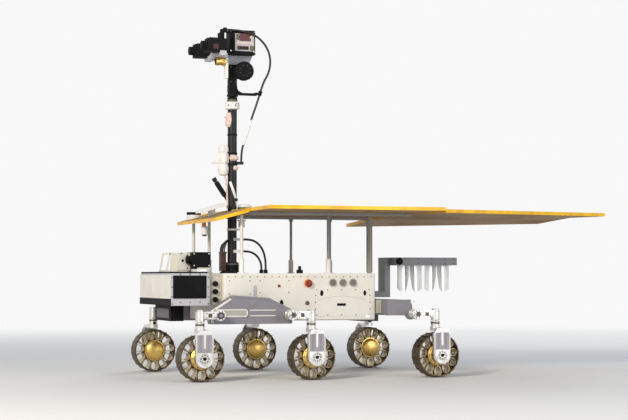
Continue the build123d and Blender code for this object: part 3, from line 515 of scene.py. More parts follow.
def newTree(name, sockets):
    tree = bpy.data.node_groups.new(name, "GeometryNodeTree")
    tree.interface.new_socket("Geometry", in_out="OUTPUT", socket_type="NodeSocketGeometry")
    tree.interface.new_socket("Geometry", in_out="INPUT", socket_type="NodeSocketGeometry")
    for label, kind in sockets:
        tree.interface.new_socket(label, in_out="INPUT", socket_type=kind)
    return tree


def treeNode(tree, kind, values, settings=None):
    node = tree.nodes.new(kind)
    for key, value in (settings or {}).items():
        setattr(node, key, value)
    for key, value in values.items():
        if isinstance(value, bpy.types.NodeSocket):
            tree.links.new(value, node.inputs[key])
        else:
            node.inputs[key].default_value = value
    return node


def endTree(tree, instances, material):
    real = treeNode(tree, "GeometryNodeRealizeInstances", {"Geometry": instances})
    dressed = treeNode(tree, "GeometryNodeSetMaterial", {"Geometry": real.outputs[0], "Material": material})
    treeNode(tree, "NodeGroupOutput", {"Geometry": dressed.outputs[0]})


def treeMaths(tree, operation, first, second):
    return treeNode(tree, "ShaderNodeMath", {0: first, 1: second}, {"operation": operation}).outputs[0]


def ringTree():
    tree = newTree("ring_of_copies", [("Count", "NodeSocketInt"), ("Finish", "NodeSocketMaterial")])
    given = tree.nodes.new("NodeGroupInput")
    line = treeNode(tree, "GeometryNodeMeshLine", {"Count": given.outputs["Count"], "Offset": (0, 0, 0)})
    index = treeNode(tree, "GeometryNodeInputIndex", {})
    turn = treeMaths(tree, "DIVIDE", 2 * math.pi, given.outputs["Count"])
    angle = treeMaths(tree, "MULTIPLY", index.outputs[0], turn)
    spin = treeNode(tree, "ShaderNodeCombineXYZ", {"Y": angle})
    copies = treeNode(tree, "GeometryNodeInstanceOnPoints", {
        "Points": line.outputs[0], "Instance": given.outputs["Geometry"], "Rotation": spin.outputs[0]})
    endTree(tree, copies.outputs[0], given.outputs["Finish"])
    return tree


def screwTree():
    tree = newTree("screws_on_points", [
        ("Radius", "NodeSocketFloat"), ("Height", "NodeSocketFloat"), ("Finish", "NodeSocketMaterial")])
    given = tree.nodes.new("NodeGroupInput")
    wide = treeMaths(tree, "MULTIPLY", given.outputs["Radius"], 1.5)
    thin = treeMaths(tree, "MULTIPLY", given.outputs["Height"], 0.3)
    head = treeNode(tree, "GeometryNodeMeshCylinder", {
        "Vertices": 6, "Radius": given.outputs["Radius"], "Depth": given.outputs["Height"]})
    washer = treeNode(tree, "GeometryNodeMeshCylinder", {
        "Vertices": 14, "Radius": wide, "Depth": thin})
    whole = tree.nodes.new("GeometryNodeJoinGeometry")
    tree.links.new(head.outputs["Mesh"], whole.inputs[0])
    tree.links.new(washer.outputs["Mesh"], whole.inputs[0])
    way = treeNode(tree, "GeometryNodeInputNamedAttribute", {"Name": "way"}, {"data_type": "FLOAT_VECTOR"})
    turn = treeNode(tree, "FunctionNodeAlignRotationToVector", {"Vector": way.outputs[0]}, {"axis": "Z"})
    copies = treeNode(tree, "GeometryNodeInstanceOnPoints", {
        "Points": given.outputs["Geometry"], "Instance": whole.outputs[0], "Rotation": turn.outputs[0]})
    endTree(tree, copies.outputs[0], given.outputs["Finish"])
    return tree


trees = {"ring": ringTree(), "screws": screwTree()}


def grown(mesh, tree, values):
    # runs a tree on a mesh and gives the result as a plain mesh
    holder = linked("holder", mesh)
    step = holder.modifiers.new("grow", "NODES")
    step.node_group = tree
    for item in tree.interface.items_tree:
        if item.in_out == "INPUT" and item.name in values:
            step[item.identifier] = values[item.name]
    graph = bpy.context.evaluated_depsgraph_get()
    made = bpy.data.meshes.new_from_object(holder.evaluated_get(graph))
    bpy.data.objects.remove(holder)
    made.shade_smooth()
    made.set_sharp_from_angle(angle=sharpAngle)
    return made


def ringOf(shape, count, finish):
    return grown(shape.plain("item"), trees["ring"], {"Count": count, "Finish": finish})


def screwMesh(places, radius, height, finish):
    cloud = bpy.data.meshes.new("screw_places")
    cloud.from_pydata([point for point, way in places], [], [])
    ways = cloud.attributes.new("way", "FLOAT_VECTOR", "POINT")
    for i, (point, way) in enumerate(places):
        ways.data[i].vector = way
    return grown(cloud, trees["screws"], {"Radius": radius, "Height": height, "Finish": finish})


# Places for screws: each is a point and the way that the head faces

def rowOf(start, end, count, way):
    start, end = Vector(start), Vector(end)
    return [(start.lerp(end, i / (count - 1)), way) for i in range(count)]


def grid(way, xs, ys, zs):
    return [(Vector((x, y, z)), way) for x in xs for y in ys for z in zs]


def ringAbout(angles, radius, x, y, z):
    # a circle about Z, with the heads up
    return [(Vector((x + math.cos(a) * radius, y + math.sin(a) * radius, z)), alongZ) for a in angles]


def ringPlaces(count, radius, y, way, shift=0.0, centre=(0, 0, 0)):
    # a circle about Y
    places = []
    for angle in turns(count, shift):
        spot = Vector((math.cos(angle) * radius, y, math.sin(angle) * radius))
        places.append((spot + Vector(centre), Vector((0, way, 0))))
    return places


# Camera, floor and light

view = {
    "cameraPlace": (4.021, 10.536, 0.637),
    "aim": (0.4, 0.0, 1.075),
    "lens": 97.0,
    "clipEnd": 400.0,
    "floorHalf": 60.0,
    "floorColour": (0.78, 0.77, 0.75),
    "backStrength": 0.94,
    "lamps": (
        ("sun_side", (7.5, 6.8, 4.8), (0.2, 0.0, 0.7), 1.8, 760, (1.0, 0.93, 0.81)),
        ("soft_side", (-3.5, 7.5, 2.5), (0.0, 0.0, 0.8), 4.0, 170, (0.92, 0.95, 1.0)),
        ("back_side", (-4.0, -6.0, 5.0), (0.0, 0.0, 1.0), 3.0, 170, (0.95, 0.97, 1.0)),
    ),
}


def makeCamera():
    data = bpy.data.cameras.new("camera")
    data.lens = view["lens"]
    data.clip_end = view["clipEnd"]
    camera = linked("camera", data)
    camera.location = view["cameraPlace"]
    way = Vector(view["aim"]) - camera.location
    camera.rotation_euler = way.to_track_quat("-Z", "Y").to_euler()
    bpy.context.scene.camera = camera


def backgroundRays(nodes, links):
    # 1 on rays that show the background: the camera's own, and those by way of metal and glass
    path = nodes.new("ShaderNodeLightPath")
    seen = path.outputs["Is Camera Ray"]
    for kind in ("Is Glossy Ray", "Is Transmission Ray"):
        either = nodes.new("ShaderNodeMath")
        either.operation = "MAXIMUM"
        links.new(seen, either.inputs[0])
        links.new(path.outputs[kind], either.inputs[1])
        seen = either.outputs[0]
    return seen


def makeFloor():
    half = view["floorHalf"]
    mesh = bpy.data.meshes.new("floor")
    corners = [(-half, -half, 0), (half, -half, 0), (half, half, 0), (-half, half, 0)]
    mesh.from_pydata(corners, [], [(0, 1, 2, 3)])
    floor = linked("floor", mesh)
    finish = Finish("pale_floor")
    finish.set("Base Color", view["floorColour"])
    finish.set("Roughness", 0.9)
    far = finish.add("ShaderNodeVectorMath", {"operation": "LENGTH"}, {0: finish.place}, 1)
    glow = finish.add("ShaderNodeEmission", {}, {"Color": (1, 1, 1), "Strength": view["backStrength"]})
    share = finish.between(far, 3.0, 11.0) * Wire(finish, backgroundRays(finish.nodes, finish.links))
    matt = Wire(finish, finish.shader.outputs[0])
    blend = finish.add("ShaderNodeMixShader", {}, {0: share, 1: matt, 2: glow})
    finish.links.new(blend.socket, finish.nodes["Material Output"].inputs["Surface"])
    mesh.materials.append(finish.material)


def makeWorld():
    world = bpy.data.worlds.new("studio")
    world.use_nodes = True
    bpy.context.scene.world = world
    nodes, links = world.node_tree.nodes, world.node_tree.links
    plain = nodes["Background"]
    plain.inputs["Color"].default_value = (0.8, 0.88, 1.0, 1)
    plain.inputs["Strength"].default_value = 0.42
    pale = nodes.new("ShaderNodeBackground")
    pale.inputs["Strength"].default_value = view["backStrength"]
    pale.inputs["Color"].default_value = (1, 1, 1, 1)
    mix = nodes.new("ShaderNodeMixShader")
    links.new(backgroundRays(nodes, links), mix.inputs[0])
    links.new(plain.outputs[0], mix.inputs[1])
    links.new(pale.outputs[0], mix.inputs[2])
    links.new(mix.outputs[0], nodes["World Output"].inputs["Surface"])


def makeLamp(name, place, aim, size, watts, colour):
    data = bpy.data.lights.new(name, "AREA")
    data.size = size
    data.energy = watts
    data.color = colour
    lamp = linked(name, data)
    lamp.location = place
    lamp.rotation_euler = (Vector(aim) - Vector(place)).to_track_quat("-Z", "Y").to_euler()


bpy.context.scene.view_settings.view_transform = "Standard"
makeCamera()
makeFloor()
makeWorld()
for lamp in view["lamps"]:
    makeLamp(*lamp)
print("stage: camera and light")


# Cords: the same points as the cables' routes

cords = {
    "radius": 0.007,
    "head_cable": [
        (1.018, 0.057, 2.232), (0.959, 0.057, 2.232), (0.899, 0.057, 2.226), (0.839, 0.057, 2.211),
        (0.783, 0.057, 2.176), (0.741, 0.057, 2.124), (0.72, 0.057, 2.06), (0.723, 0.057, 1.994),
        (0.741, 0.057, 1.942), (0.7672, 0.057, 1.9013), (0.7865, 0.057, 1.8403),
    ],
    "mast_cable": [
        (0.7955, 0.057, 1.8117), (0.8154, 0.057, 1.7488), (0.843, 0.052, 1.672), (0.863, 0.046, 1.596),
        (0.885, 0.04, 1.524), (0.909, 0.03, 1.454), (0.909, 0.03, 1.38),
    ],
    "base_cable_high": [
        (0.897, 0.029, 0.877), (0.853, 0.029, 0.877), (0.812, 0.035, 0.864), (0.78, 0.042, 0.833),
        (0.761, 0.05, 0.792), (0.753, 0.057, 0.745), (0.752, 0.06, 0.712), (0.752, 0.06, 0.681),
    ],
    "base_cable_low": [
        (0.897, 0.029, 0.8), (0.861, 0.029, 0.8), (0.827, 0.032, 0.789), (0.799, 0.037, 0.766),
        (0.782, 0.042, 0.734), (0.777, 0.048, 0.707), (0.777, 0.048, 0.681),
    ],
}


def smoothLine(name, points):
    curve = bpy.data.curves.new(name, "CURVE")
    curve.dimensions = "3D"
    curve.resolution_u = 12
    spline = curve.splines.new("NURBS")
    spline.points.add(len(points) - 1)
    for i, point in enumerate(points):
        spline.points[i].co = (*point, 1)
    spline.order_u = 3
    spline.use_endpoint_u = True
    holder = linked(name, curve)
    graph = bpy.context.evaluated_depsgraph_get()
    line = bpy.data.meshes.new_from_object(holder.evaluated_get(graph))
    path = [tuple(vertex.co) for vertex in line.vertices]
    bpy.data.objects.remove(holder)
    return path


def makeCord(node, bodies):
    # a cord between two bodies, listed as its last point's body and then its first point's, is left fixed on
    # no body; a cord on one body is attached to it
    path = smoothLine(node + "_line", cords[node])
    shape = Shape("cable")
    shape.tube(path, cords["radius"], 16)
    if node == "mast_cable":
        shape.tint("white", lambda spot: 1.49 < spot.z < 1.65)
    made = linked(node + "_dressed", shape.plain(node + "_dressed"))
    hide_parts(node)
    if len(bodies) == 2:
        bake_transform(made)
    else:
        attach(made, bodies[0])


makeCord("head_cable", ("pan_head", "tilt_head"))
makeCord("mast_cable", ("root", "pan_head"))
makeCord("base_cable_high", ("root",))
makeCord("base_cable_low", ("root",))
print("stage: cords")


# Wheels: a thin rim with riveted grousers, bent strip loops, a drum hub and a gold dome

wheel = {
    "half": 0.06,
    "rim": 0.138,
    "rimWall": 0.003,
    "lip": 0.0075,
    "grousers": 22,
    "loops": 11,
    "loopWall": 0.0026,
    "loopHalf": 0.0235,
    "hub": 0.074,
    "band": 0.042,
    "bandGap": 0.006,
    "dome": 0.062,
    "domeRise": 0.026,
    "domeLip": 0.0035,
    "ringFoot": 0.068,
    "ringCrown": 0.05,
    "ringBore": 0.041,
    "ringRise": 0.009,
    "axle": 0.018,
    "axleEnd": 0.088,
}


def rimShape():
    half, outer = wheel["half"], wheel["rim"]
    inner, lip = outer - wheel["rimWall"], outer - wheel["lip"]
    right = [
        (half - 0.002, outer), (half, outer - 0.0015), (half, lip), (half - 0.0018, lip - 0.0008),
        (half - 0.0034, lip), (half - 0.0036, inner - 0.002), (half - 0.0055, inner), (0.5 * half, inner),
        (0.46 * half, inner - 0.0018), (0.38 * half, inner - 0.0018), (0.34 * half, inner),
    ]
    left = [(-y, radius) for y, radius in reversed(right)]
    shape = Shape("wheel")
    shape.turned(right + left, (0, 0, 0), alongY, 110, True)
    return shape


def grouserShape():
    # a folded strip standing on the rim, kinked in plan, with its foot and rivets
    shape = Shape("wheel")
    foot, top = wheel["rim"] - 0.0005, rover["wheelRadius"]
    half, kink = wheel["half"], 0.0012
    rows = []
    stations = ((-half, kink), (-0.038, kink), (-0.03, -kink), (0.03, -kink), (0.038, kink), (half, kink))
    for y, shift in stations:
        section = [(-0.0024, foot), (-0.0011, top), (0.0011, top), (0.0024, foot)]
        rows.append([shape.mesh.verts.new((x + shift, y, -z)) for x, z in section])
    shape.skin(rows)
    for y in (-0.05, -0.018, 0.018, 0.05):
        for x in (-0.0075, 0.0075):
            shape.turned([(0, 0.0026), (0.0009, 0.0024), (0.0016, 0.0012)], (x, y, -foot), (0, 0, -1), 8)
    return shape


def loopOutline(reach, half, steps=36, power=2.5):
    outline = []
    for angle in turns(steps):
        across, along = math.cos(angle), math.sin(angle)
        x = math.copysign(abs(across) ** (2 / power), across) * half
        z = math.copysign(abs(along) ** (2 / power), along) * reach
        outline.append((x, z))
    return outline


def loopShape():
    inner = wheel["rim"] - wheel["rimWall"]
    middle, reach = (inner + wheel["hub"]) / 2, (inner - wheel["hub"]) / 2 + 0.0006
    shape = Shape("wheel")
    wall, half = wheel["loopWall"], wheel["loopHalf"]
    outer, hollow = loopOutline(reach, half), loopOutline(reach - wall, half - wall)
    rows = [(-wheel["band"], -wheel["bandGap"]), (wheel["bandGap"], wheel["band"])]
    for low, high in rows:
        rings = []
        for y, outline in ((low, outer), (high, outer), (high, hollow), (low, hollow)):
            rings.append([shape.mesh.verts.new((x, y, -middle + z)) for x, z in outline])
        shape.skin(rings + rings[:1], False)
        for z in (-inner + 0.0028, -wheel["hub"] - 0.0028):
            way = (0, 0, 1) if z < -middle else (0, 0, -1)
            for x in (-0.005, 0.005):
                shape.turned([(0, 0.0026), (0.0016, 0.0026), (0.0022, 0.0016)],
                             (x, (low + high) / 2, z), way, 6)
    return shape


def hubShape(side):
    # outboard is +side along Y
    shape = Shape("wheel")
    hub, band = wheel["hub"], wheel["band"]
    drum = [(-band - 0.001, hub - 0.004), (-band - 0.001, hub - 0.0005), (-band + 0.002, hub),
            (band - 0.002, hub), (band + 0.001, hub - 0.0005), (band + 0.001, hub - 0.004),
            (band - 0.008, hub - 0.005), (band - 0.012, 0.052), (band - 0.01, 0.04), (band - 0.002, 0.036),
            (band - 0.002, 0.0), (-band, 0.0)]
    shape.turned([(y * side, radius) for y, radius in drum], (0, 0, 0), alongY, 88)
    shape.use("gold")
    dome, rise, lip = wheel["dome"], wheel["domeRise"], wheel["domeLip"]
    curve = [(-band - 0.0006, dome + 0.006), (-band - 0.003, dome + 0.006), (-band - lip, dome)]
    steps = 16
    for i in range(1, steps + 1):
        lift = 0.5 * math.pi * i / steps
        curve.append((-band - lip - (rise - lip) * math.sin(lift), dome * max(0.0, math.cos(lift))))
    shape.turned([(y * side, radius) for y, radius in curve], (0, 0, 0), alongY, 72)
    # the outboard ring slopes from its foot to a narrow flat round the leg's boss
    foot, crown, bore, rise = wheel["ringFoot"], wheel["ringCrown"], wheel["ringBore"], wheel["ringRise"]
    ring = [(band - 0.008, foot), (band + 0.0004, foot), (band + rise - 0.0005, crown + 0.0012),
            (band + rise, crown), (band + rise, bore + 0.0013), (band + rise - 0.001, bore),
            (band - 0.012, bore)]
    shape.turned([(y * side, radius) for y, radius in ring], (0, 0, 0), alongY, 64, True)
    shape.use("bright")
    start = (0, (band - 0.003) * side, 0)
    shape.rod(start, (0, (band + 0.004) * side, 0), 0.026, 32, 0.001)
    shape.rod(start, (0, wheel["axleEnd"] * side, 0), wheel["axle"], 40, 0.001)
    return shape


def makeWheels():
    grousers = ringOf(grouserShape(), wheel["grousers"], paint["wheel"])
    loops = ringOf(loopShape(), wheel["loops"], paint["strip"])
    rim = rimShape().plain("rim")
    for name, (place, side) in rover["wheels"].items():
        shape = hubShape(side)
        band = wheel["band"]
        bolts = ringPlaces(11, 0.06, (band + 0.0046) * side, side)
        bolts += ringPlaces(12, 0.0456, (band + wheel["ringRise"]) * side, side)
        shape.screws(bolts, 0.0028, 0.005)
        caps = ringPlaces(12, wheel["dome"] + 0.003, (-band - 0.0028) * side, -side)
        caps += ringPlaces(22, wheel["hub"] - 0.0025, (-band - 0.0008) * side, -side)
        shape.screws(caps, 0.0018, 0.003)
        for mesh in (rim, grousers, loops):
            shape.join(mesh)
        spot = (rover["middleAxle"] + place, rover["wheelCentre"] * side, rover["wheelRadius"])
        shape.place(Matrix.Translation(spot))
        shape.piece("wheel_" + name + "_dressed", "roll_" + name, "wheel_steel", ("wheel_" + name,))


makeWheels()
print("stage: wheels")


# Dressed nodes: each keeps its CAD form, with small fittings added

record = frame["record"]
slotOf = {row["node"]: row["material_slot"] for row in record["subparts"]}
bodyOf = {node: body for body, nodes in record["behaviour"]["bodies"].items() for node in nodes}


def dressed(node, finish, bevel=0.0015, extra=None, edging=None):
    # extra adds fittings to the shape; edging gives another finish to the sides of a flat panel
    shape = Shape(finish)
    shape.copyOf(node)
    if edging:
        shape.use(edging)
        shape.mesh.normal_update()
        for face in shape.mesh.faces:
            if abs(face.normal.z) < 0.5:
                face.material_index = shape.index
    if extra:
        extra(shape)
    shape.piece(node + "_dressed", bodyOf[node], slotOf[node], (node,), bevel)


# Legs, steering and walking motors

leg = {
    "plateFace": 0.114,
    "bossFace": 0.118,
    "housingHigh": 0.425,
    "lip": [(0.05, 0.276), (0.05, 0.142), (0.041, 0.114), (0.022, 0.096)],
    "spigotRings": ((0.3125, 0.3185, 0.0335), (0.333, 0.337, 0.0298), (0.35, 0.355, 0.0305)),
    "housingRings": ((0.3612, 0.3655, 0.0305), (0.412, 0.4165, 0.03)),
    "walkRings": (0.012, 0.03, 0.048, 0.066),
    "walkHeight": 0.4,
    "walkOuter": 0.632,
    "walk": {"front_left": -0.122, "front_right": -0.122, "mid_left": 0.128, "mid_right": 0.128,
             "rear_left": 0.133, "rear_right": 0.133},
}


def legFittings(place, side):
    def add(shape):
        x, y = rover["middleAxle"] + place, rover["wheelCentre"] * side
        axle = rover["wheelRadius"]
        out = alongY * side
        face = y + leg["bossFace"] * side
        plate = y + leg["plateFace"] * side
        shape.band(0.0265, 0.0295, -0.0035, (x, face, axle), out, 40)
        shape.turned([(-0.004, 0.013), (-0.001, 0.013), (0, 0.0115), (0, 0)], (x, face, axle), out, 24)
        # a thick raised lip round the plate's grey channel and a bright middle rib
        lip = [(-dx, z) for dx, z in leg["lip"]] + [(0.0, 0.091)] + leg["lip"][::-1]
        shape.tube([(x + dx, plate, z) for dx, z in lip], 0.0046, 10)
        y1, y2 = span(plate, side, 0, 0.0035)
        shape.block((x - 0.0065, y1, 0.205), (x + 0.0065, y2, 0.288))
        shape.tint("channel", lambda spot: 0.184 < spot.z < 0.286 and 0.01 < abs(spot.x - x) < 0.035
                   and 0.69 < abs(spot.y) < abs(plate) - 0.0003)
        y1, y2 = span(plate, side, -0.0002, 0.0012)
        for x1, x2 in ((-0.046, -0.0305), (-0.0175, 0.0175), (0.0305, 0.046)):
            shape.block((x + x1, y1, 0.186), (x + x2, y2, 0.286))
        shape.block((x - 0.046, y1, 0.178), (x + 0.046, y2, 0.1862))
        shape.use("steel").band(0.0185, 0.0245, 0.001, (x, face, axle), out, 36)
        y1, y2 = span(face, side, -0.0002, 0.0012)
        shape.use("window").block((x - 0.0125, y1, axle + 0.0005), (x + 0.0125, y2, axle + 0.0085))
        shape.use("bright")
        for low, high, radius in leg["spigotRings"]:
            shape.rod((x, y, low), (x, y, high), radius, 36, 0.001)
        shape.use("steel").rod((x, y, 0.3385), (x, y, 0.3485), 0.0284, 36)
        y1, y2 = span(y, side, -0.041, -0.02)
        shape.use("black").block((x - 0.009, y1, 0.318), (x + 0.009, y2, 0.332))
        bolts = ringPlaces(8, 0.0215, face + 0.001 * side, side, 0.5, (x, 0, axle))
        bolts += [(Vector((x + dx, plate, 0.296)), out) for dx in (-0.018, 0.018)]
        shape.screws(bolts, 0.0024, 0.0022, "bright")
    return add


def armFittings(shape):
    bolts = []
    for name, (place, side) in rover["wheels"].items():
        x, y = rover["middleAxle"] + place, rover["wheelCentre"] * side
        shape.use("bright")
        for low, high, radius in leg["housingRings"]:
            shape.rod((x, y, low), (x, y, high), radius, 36, 0.001)
        cap = [(0, 0.0205), (0.006, 0.0205), (0.0075, 0.019), (0.0075, 0.006), (0.0045, 0.0055), (0.0045, 0)]
        shape.turned(cap, (x, y, leg["housingHigh"] + 0.0005), alongZ, 32)
        bolts += ringAbout(turns(6), 0.0245, x, y, leg["housingHigh"])
        walk = leg["walk"][name]
        step = 1 if walk > 0 else -1
        start, end = x + step * 0.031, x + walk - step * 0.034
        shape.block((min(start, end), y - 0.015, 0.4216), (max(start, end), y + 0.015, 0.4246))
        shape.use("steel")
        middle = (start + end) / 2
        shape.block((middle - 0.012, y - 0.0245, 0.388), (middle + 0.012, y + 0.0245, 0.412))
        for way, out in bothSides:
            bolts += grid(out, (middle - 0.022, middle + 0.022), (y + way * 0.023,), (0.386, 0.414))
    shape.screws(bolts, 0.0026, 0.0035)


def walkFittings(shape):
    bolts = []
    # the two front motors have a dark cap
    shape.tint("pivot", lambda spot: spot.x > 1.0 and abs(spot.y) > leg["walkOuter"] + 0.003)
    for name, (place, side) in rover["wheels"].items():
        x = rover["middleAxle"] + place + leg["walk"][name]
        z = leg["walkHeight"]
        out = alongY * side
        y = leg["walkOuter"] * side
        shape.use("bright")
        for back in leg["walkRings"]:
            shape.band(0.0305, 0.0335, 0.004, (x, y - back * side, z), out, 40)
        shape.turned([(0, 0.0325), (0.0025, 0.0325), (0.004, 0.031), (0.004, 0.02), (0, 0.02)],
                     (x, y - 0.002 * side, z), out, 40, True)
        shape.use("channel" if place > 0.5 else "steel")
        reach = 0.0085 if place > 0.5 else 0.0165
        shape.turned([(0.0122, reach), (0.0135, reach - 0.0005), (0.0135, 0.0)], (x, y, z), out, 24)
        bolts += ringPlaces(8, 0.0265, y + 0.002 * side, side, 0.5, (x, 0, z))
        bolts += ringPlaces(6, 0.0185, y + 0.0122 * side, side, 0.0, (x, 0, z))
    shape.screws(bolts, 0.0024, 0.003)


for name, (place, side) in rover["wheels"].items():
    dressed("leg_" + name, "bright", 0.0018, legFittings(place, side))
dressed("steering_arms", "bright", 0.002, armFittings)
dressed("walking_motors", "bright", 0.002, walkFittings)
print("stage: legs and motors")


# Side bogies, rear bogie and pivots

bogie = {
    "face": 0.52,
    "band": (0.388, 0.436),
    "pivot": (0.355, 0.47),
    "bearing": (0.355, 0.4102, 0.45),
    "frame": (0.386, 0.6),
    "frameBar": 0.007,
    "frontBar": [(0.602, 0.35), (0.62, 0.35), (0.62, 0.428), (0.5, 0.502), (0.488, 0.496), (0.602, 0.424)],
    "rib": [(0.118, 0.424), (0.262, 0.494), (0.462, 0.508)],
    "screwLine": [(0.11, 0.355), (0.11, 0.425), (0.252, 0.497), (0.362, 0.505), (0.468, 0.511)],
    "screwPitch": 0.07,
}


def bogieFittings(side):
    def add(shape):
        x0 = rover["middleAxle"]
        face = bogie["face"] * side
        out = alongY * side
        low, high = bogie["band"]
        # a light band along the middle, its front stretch in a frame
        y1, y2 = span(face, side, -0.0005, 0.0012)
        shape.use("bogieLight").block((x0 + 0.392, y1, low), (x0 + 0.596, y2, high))
        shape.use("body")
        y3, y4 = span(face, side, 0, 0.0045)
        back, front = bogie["frame"]
        thick = bogie["frameBar"]
        for z in (low, high - thick):
            shape.block((x0 + back, y3, z), (x0 + front, y4, z + thick))
        for dx in (back, front - thick):
            shape.block((x0 + dx, y3, low), (x0 + dx + thick, y4, high))
        for z in (low + 0.004, high - 0.01):
            shape.block((x0 + 0.205, y3, z), (x0 + 0.372, y4, z + 0.006))
        # a pale bar down the sloping front end
        shape.plate(bogie["frontBar"], -0.0016 * side, upright(x0, face, 0))
        shape.use("bogie")
        shape.tube([(x0 + dx, face, z) for dx, z in bogie["rib"]], 0.0022, 8)
        px, pz = bogie["pivot"]
        disc = [(0, 0.024), (0.002, 0.023), (0.0026, 0.021), (0.0026, 0)]
        shape.turned(disc, (x0 + px, face, pz), out, 40)
        places = []
        line = bogie["screwLine"]
        for (x1, z1), (x2, z2) in zip(line, line[1:]):
            count = max(2, round(math.hypot(x2 - x1, z2 - z1) / bogie["screwPitch"]))
            places += rowOf((x0 + x1, face, z1), (x0 + x2, face, z2), count + 1, out)[:-1]
        shape.screws(places, 0.0022, 0.0022, "bogie")
    return add


def rearBogieFittings(shape):
    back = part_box("rear_bogie")[0][0]
    places = []
    for z in (0.404, 0.476):
        places += rowOf((back, -0.48, z), (back, 0.48, z), 17, backward)
    shape.use("frame")
    for y in (-0.36, -0.12, 0.12, 0.36):
        shape.block((back - 0.0018, y - 0.085, 0.416), (back + 0.0005, y + 0.085, 0.464))
    # pale brackets in the gap behind the body
    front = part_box("rear_bogie")[1][0]
    shape.use("neck")
    for side in (-1, 1):
        y1, y2 = span(0, side, 0.38, 0.408)
        shape.block((front - 0.004, y1, 0.402), (front + 0.034, y2, 0.488))
    shape.screws(places, 0.0034, 0.0035)


def pivotFittings(shape):
    shape.tint("pivot", lambda spot: spot.x < 0.2)
    shape.use("steel")
    x, y, z = bogie["bearing"]
    for side, out in bothSides:
        shape.turned([(0, 0.0495), (0.004, 0.0495), (0.005, 0.048), (0.005, 0.0405), (0, 0.0405)],
                     (rover["middleAxle"] + x, y * side, z), out, 48, True)


for row in (
    ("bogie_left", "bogie", 0.002, bogieFittings(1)),
    ("bogie_right", "bogie", 0.002, bogieFittings(-1)),
    ("rear_bogie", "bogie", 0.002, rearBogieFittings),
    ("bogie_pivots", "bright", 0.002, pivotFittings),
):
    dressed(*row)
print("stage: bogies")


# Body: seams, screws, catches, vents and stop buttons on both sides

body = {
    "face": 0.41,
    "panelFace": 0.413,
    "top": 0.657,
    "vents": (0.415, 0.347, 0.279),
    "ventHeight": 0.598,
    "ventRadius": 0.0195,
    "slatPitch": 0.0052,
    "catches": (0.18, 0.56, 0.7, 1.08),
    "socket": (0.586, 0.47),
    "redCap": (0.7735, 0.578),
    "stop": (0.58, 0.594),
    "rearCover": 0.1232,
    "proud": 0.0016,
    "covers": ((0.7, 0.905, 0.528, 0.622), (0.955, 1.105, 0.52, 0.622)),
    "ovals": ((0.757, 0.472, 0.011, 0.019), (0.49, 0.532, 0.011, 0.019), (0.199, 0.532, 0.01, 0.017)),
}


def bodyFittings(shape):
    for side, out in bothSides:
        face = body["face"] * side
        y1, y2 = span(face, side, -0.0004, body["proud"])
        shape.use("body")
        # raised service covers forward of the stop button, and the long joint strip under the lid
        for x1, x2, z1, z2 in body["covers"] + ((0.14, 1.12, 0.631, 0.641),):
            shape.block((x1, y1, z1), (x2, y2, z2))
        y3, y4 = span(face, side, 0, 0.009)
        shape.use("frame").block((0.926, y3, 0.519), (0.94, y4, 0.584))
        shape.use("steel")
        socket = [(0, 0.013), (0.005, 0.013), (0.007, 0.011), (0.007, 0.006), (0.003, 0.005), (0.003, 0.0)]
        x, z = body["socket"]
        shape.turned(socket, (x, face, z), out, 24)
        shape.use("red")
        cap = [(0, 0.009), (0.006, 0.009), (0.008, 0.006), (0.0085, 0)]
        x, z = body["redCap"]
        shape.turned(cap, (x, face, z), out, 24)
        shape.use("black")
        for x, z, wide, high in body["ovals"]:
            outline = [(math.cos(a) * wide, math.sin(a) * high) for a in turns(20)]
            shape.plate(outline, -0.0045 * side, upright(x, face - 0.0004 * side, z))
        # catches low on the side
        shape.use("bright")
        for x in body["catches"]:
            y5, y6 = span(face, side, 0, 0.006)
            shape.block((x - 0.014, y5, 0.374), (x + 0.014, y6, 0.392))
        top = face + body["proud"] * side
        places = rowOf((0.155, top, 0.636), (1.105, top, 0.636), 21, out)
        for x1, x2, z1, z2 in body["covers"]:
            places += grid(out, (x1 + 0.008, x2 - 0.008), (top,), (z1 + 0.008, z2 - 0.012))
        shape.screws(places, 0.0026, 0.003)
    # rear wall: a flat cover and four round plugs
    shape.use("body").block((body["rearCover"], -0.3, 0.435), (body["rearCover"] + 0.0023, 0.3, 0.62))
    shape.use("black")
    for y in (-0.345, 0.345):
        for z in (0.56, 0.48):
            shape.turned([(0, 0.018), (0.004, 0.018), (0.004, 0.014), (0.0155, 0.014), (0.017, 0.0125),
                          (0.017, 0)], (body["rearCover"] + 0.002, y, z), backward, 28)
    places = grid(backward, (body["rearCover"],), (-0.285, -0.14, 0, 0.14, 0.285), (0.45, 0.605))
    shape.screws(places, 0.0032, 0.0035)


def lidFittings(shape):
    places = []
    for side in (-1, 1):
        places += rowOf((0.15, 0.39 * side, body["top"]), (1.11, 0.39 * side, body["top"]), 15, alongZ)
    for x in (0.145, 1.118):
        places += rowOf((x, -0.33, body["top"]), (x, 0.33, body["top"]), 9, alongZ)
    shape.screws(places, 0.0034, 0.003)


def panelFittings(shape):
    for side, out in bothSides:
        face = body["panelFace"] * side
        # a black sheet sunk in the slot as painted shade for its dark inside, and a shallow bow line pressed
        # into the cover
        y1, y2 = span(face, side, -0.0031, -0.0012)
        shape.use("window").block((0.3268, y1, 0.4504), (0.3872, y2, 0.4676))
        shape.use("frame")
        bow = [(0.19 + 0.33 * i / 12, face, 0.487 + 0.026 * math.sin(math.pi * i / 12)) for i in range(13)]
        shape.tube(bow, 0.0012, 8)
        places = grid(out, (0.171, 0.26, 0.357, 0.45, 0.524), (face,), (0.394, 0.553))
        places += grid(out, (0.164, 0.531), (face,), (0.43, 0.474, 0.518))
        shape.screws(places, 0.0027, 0.003)


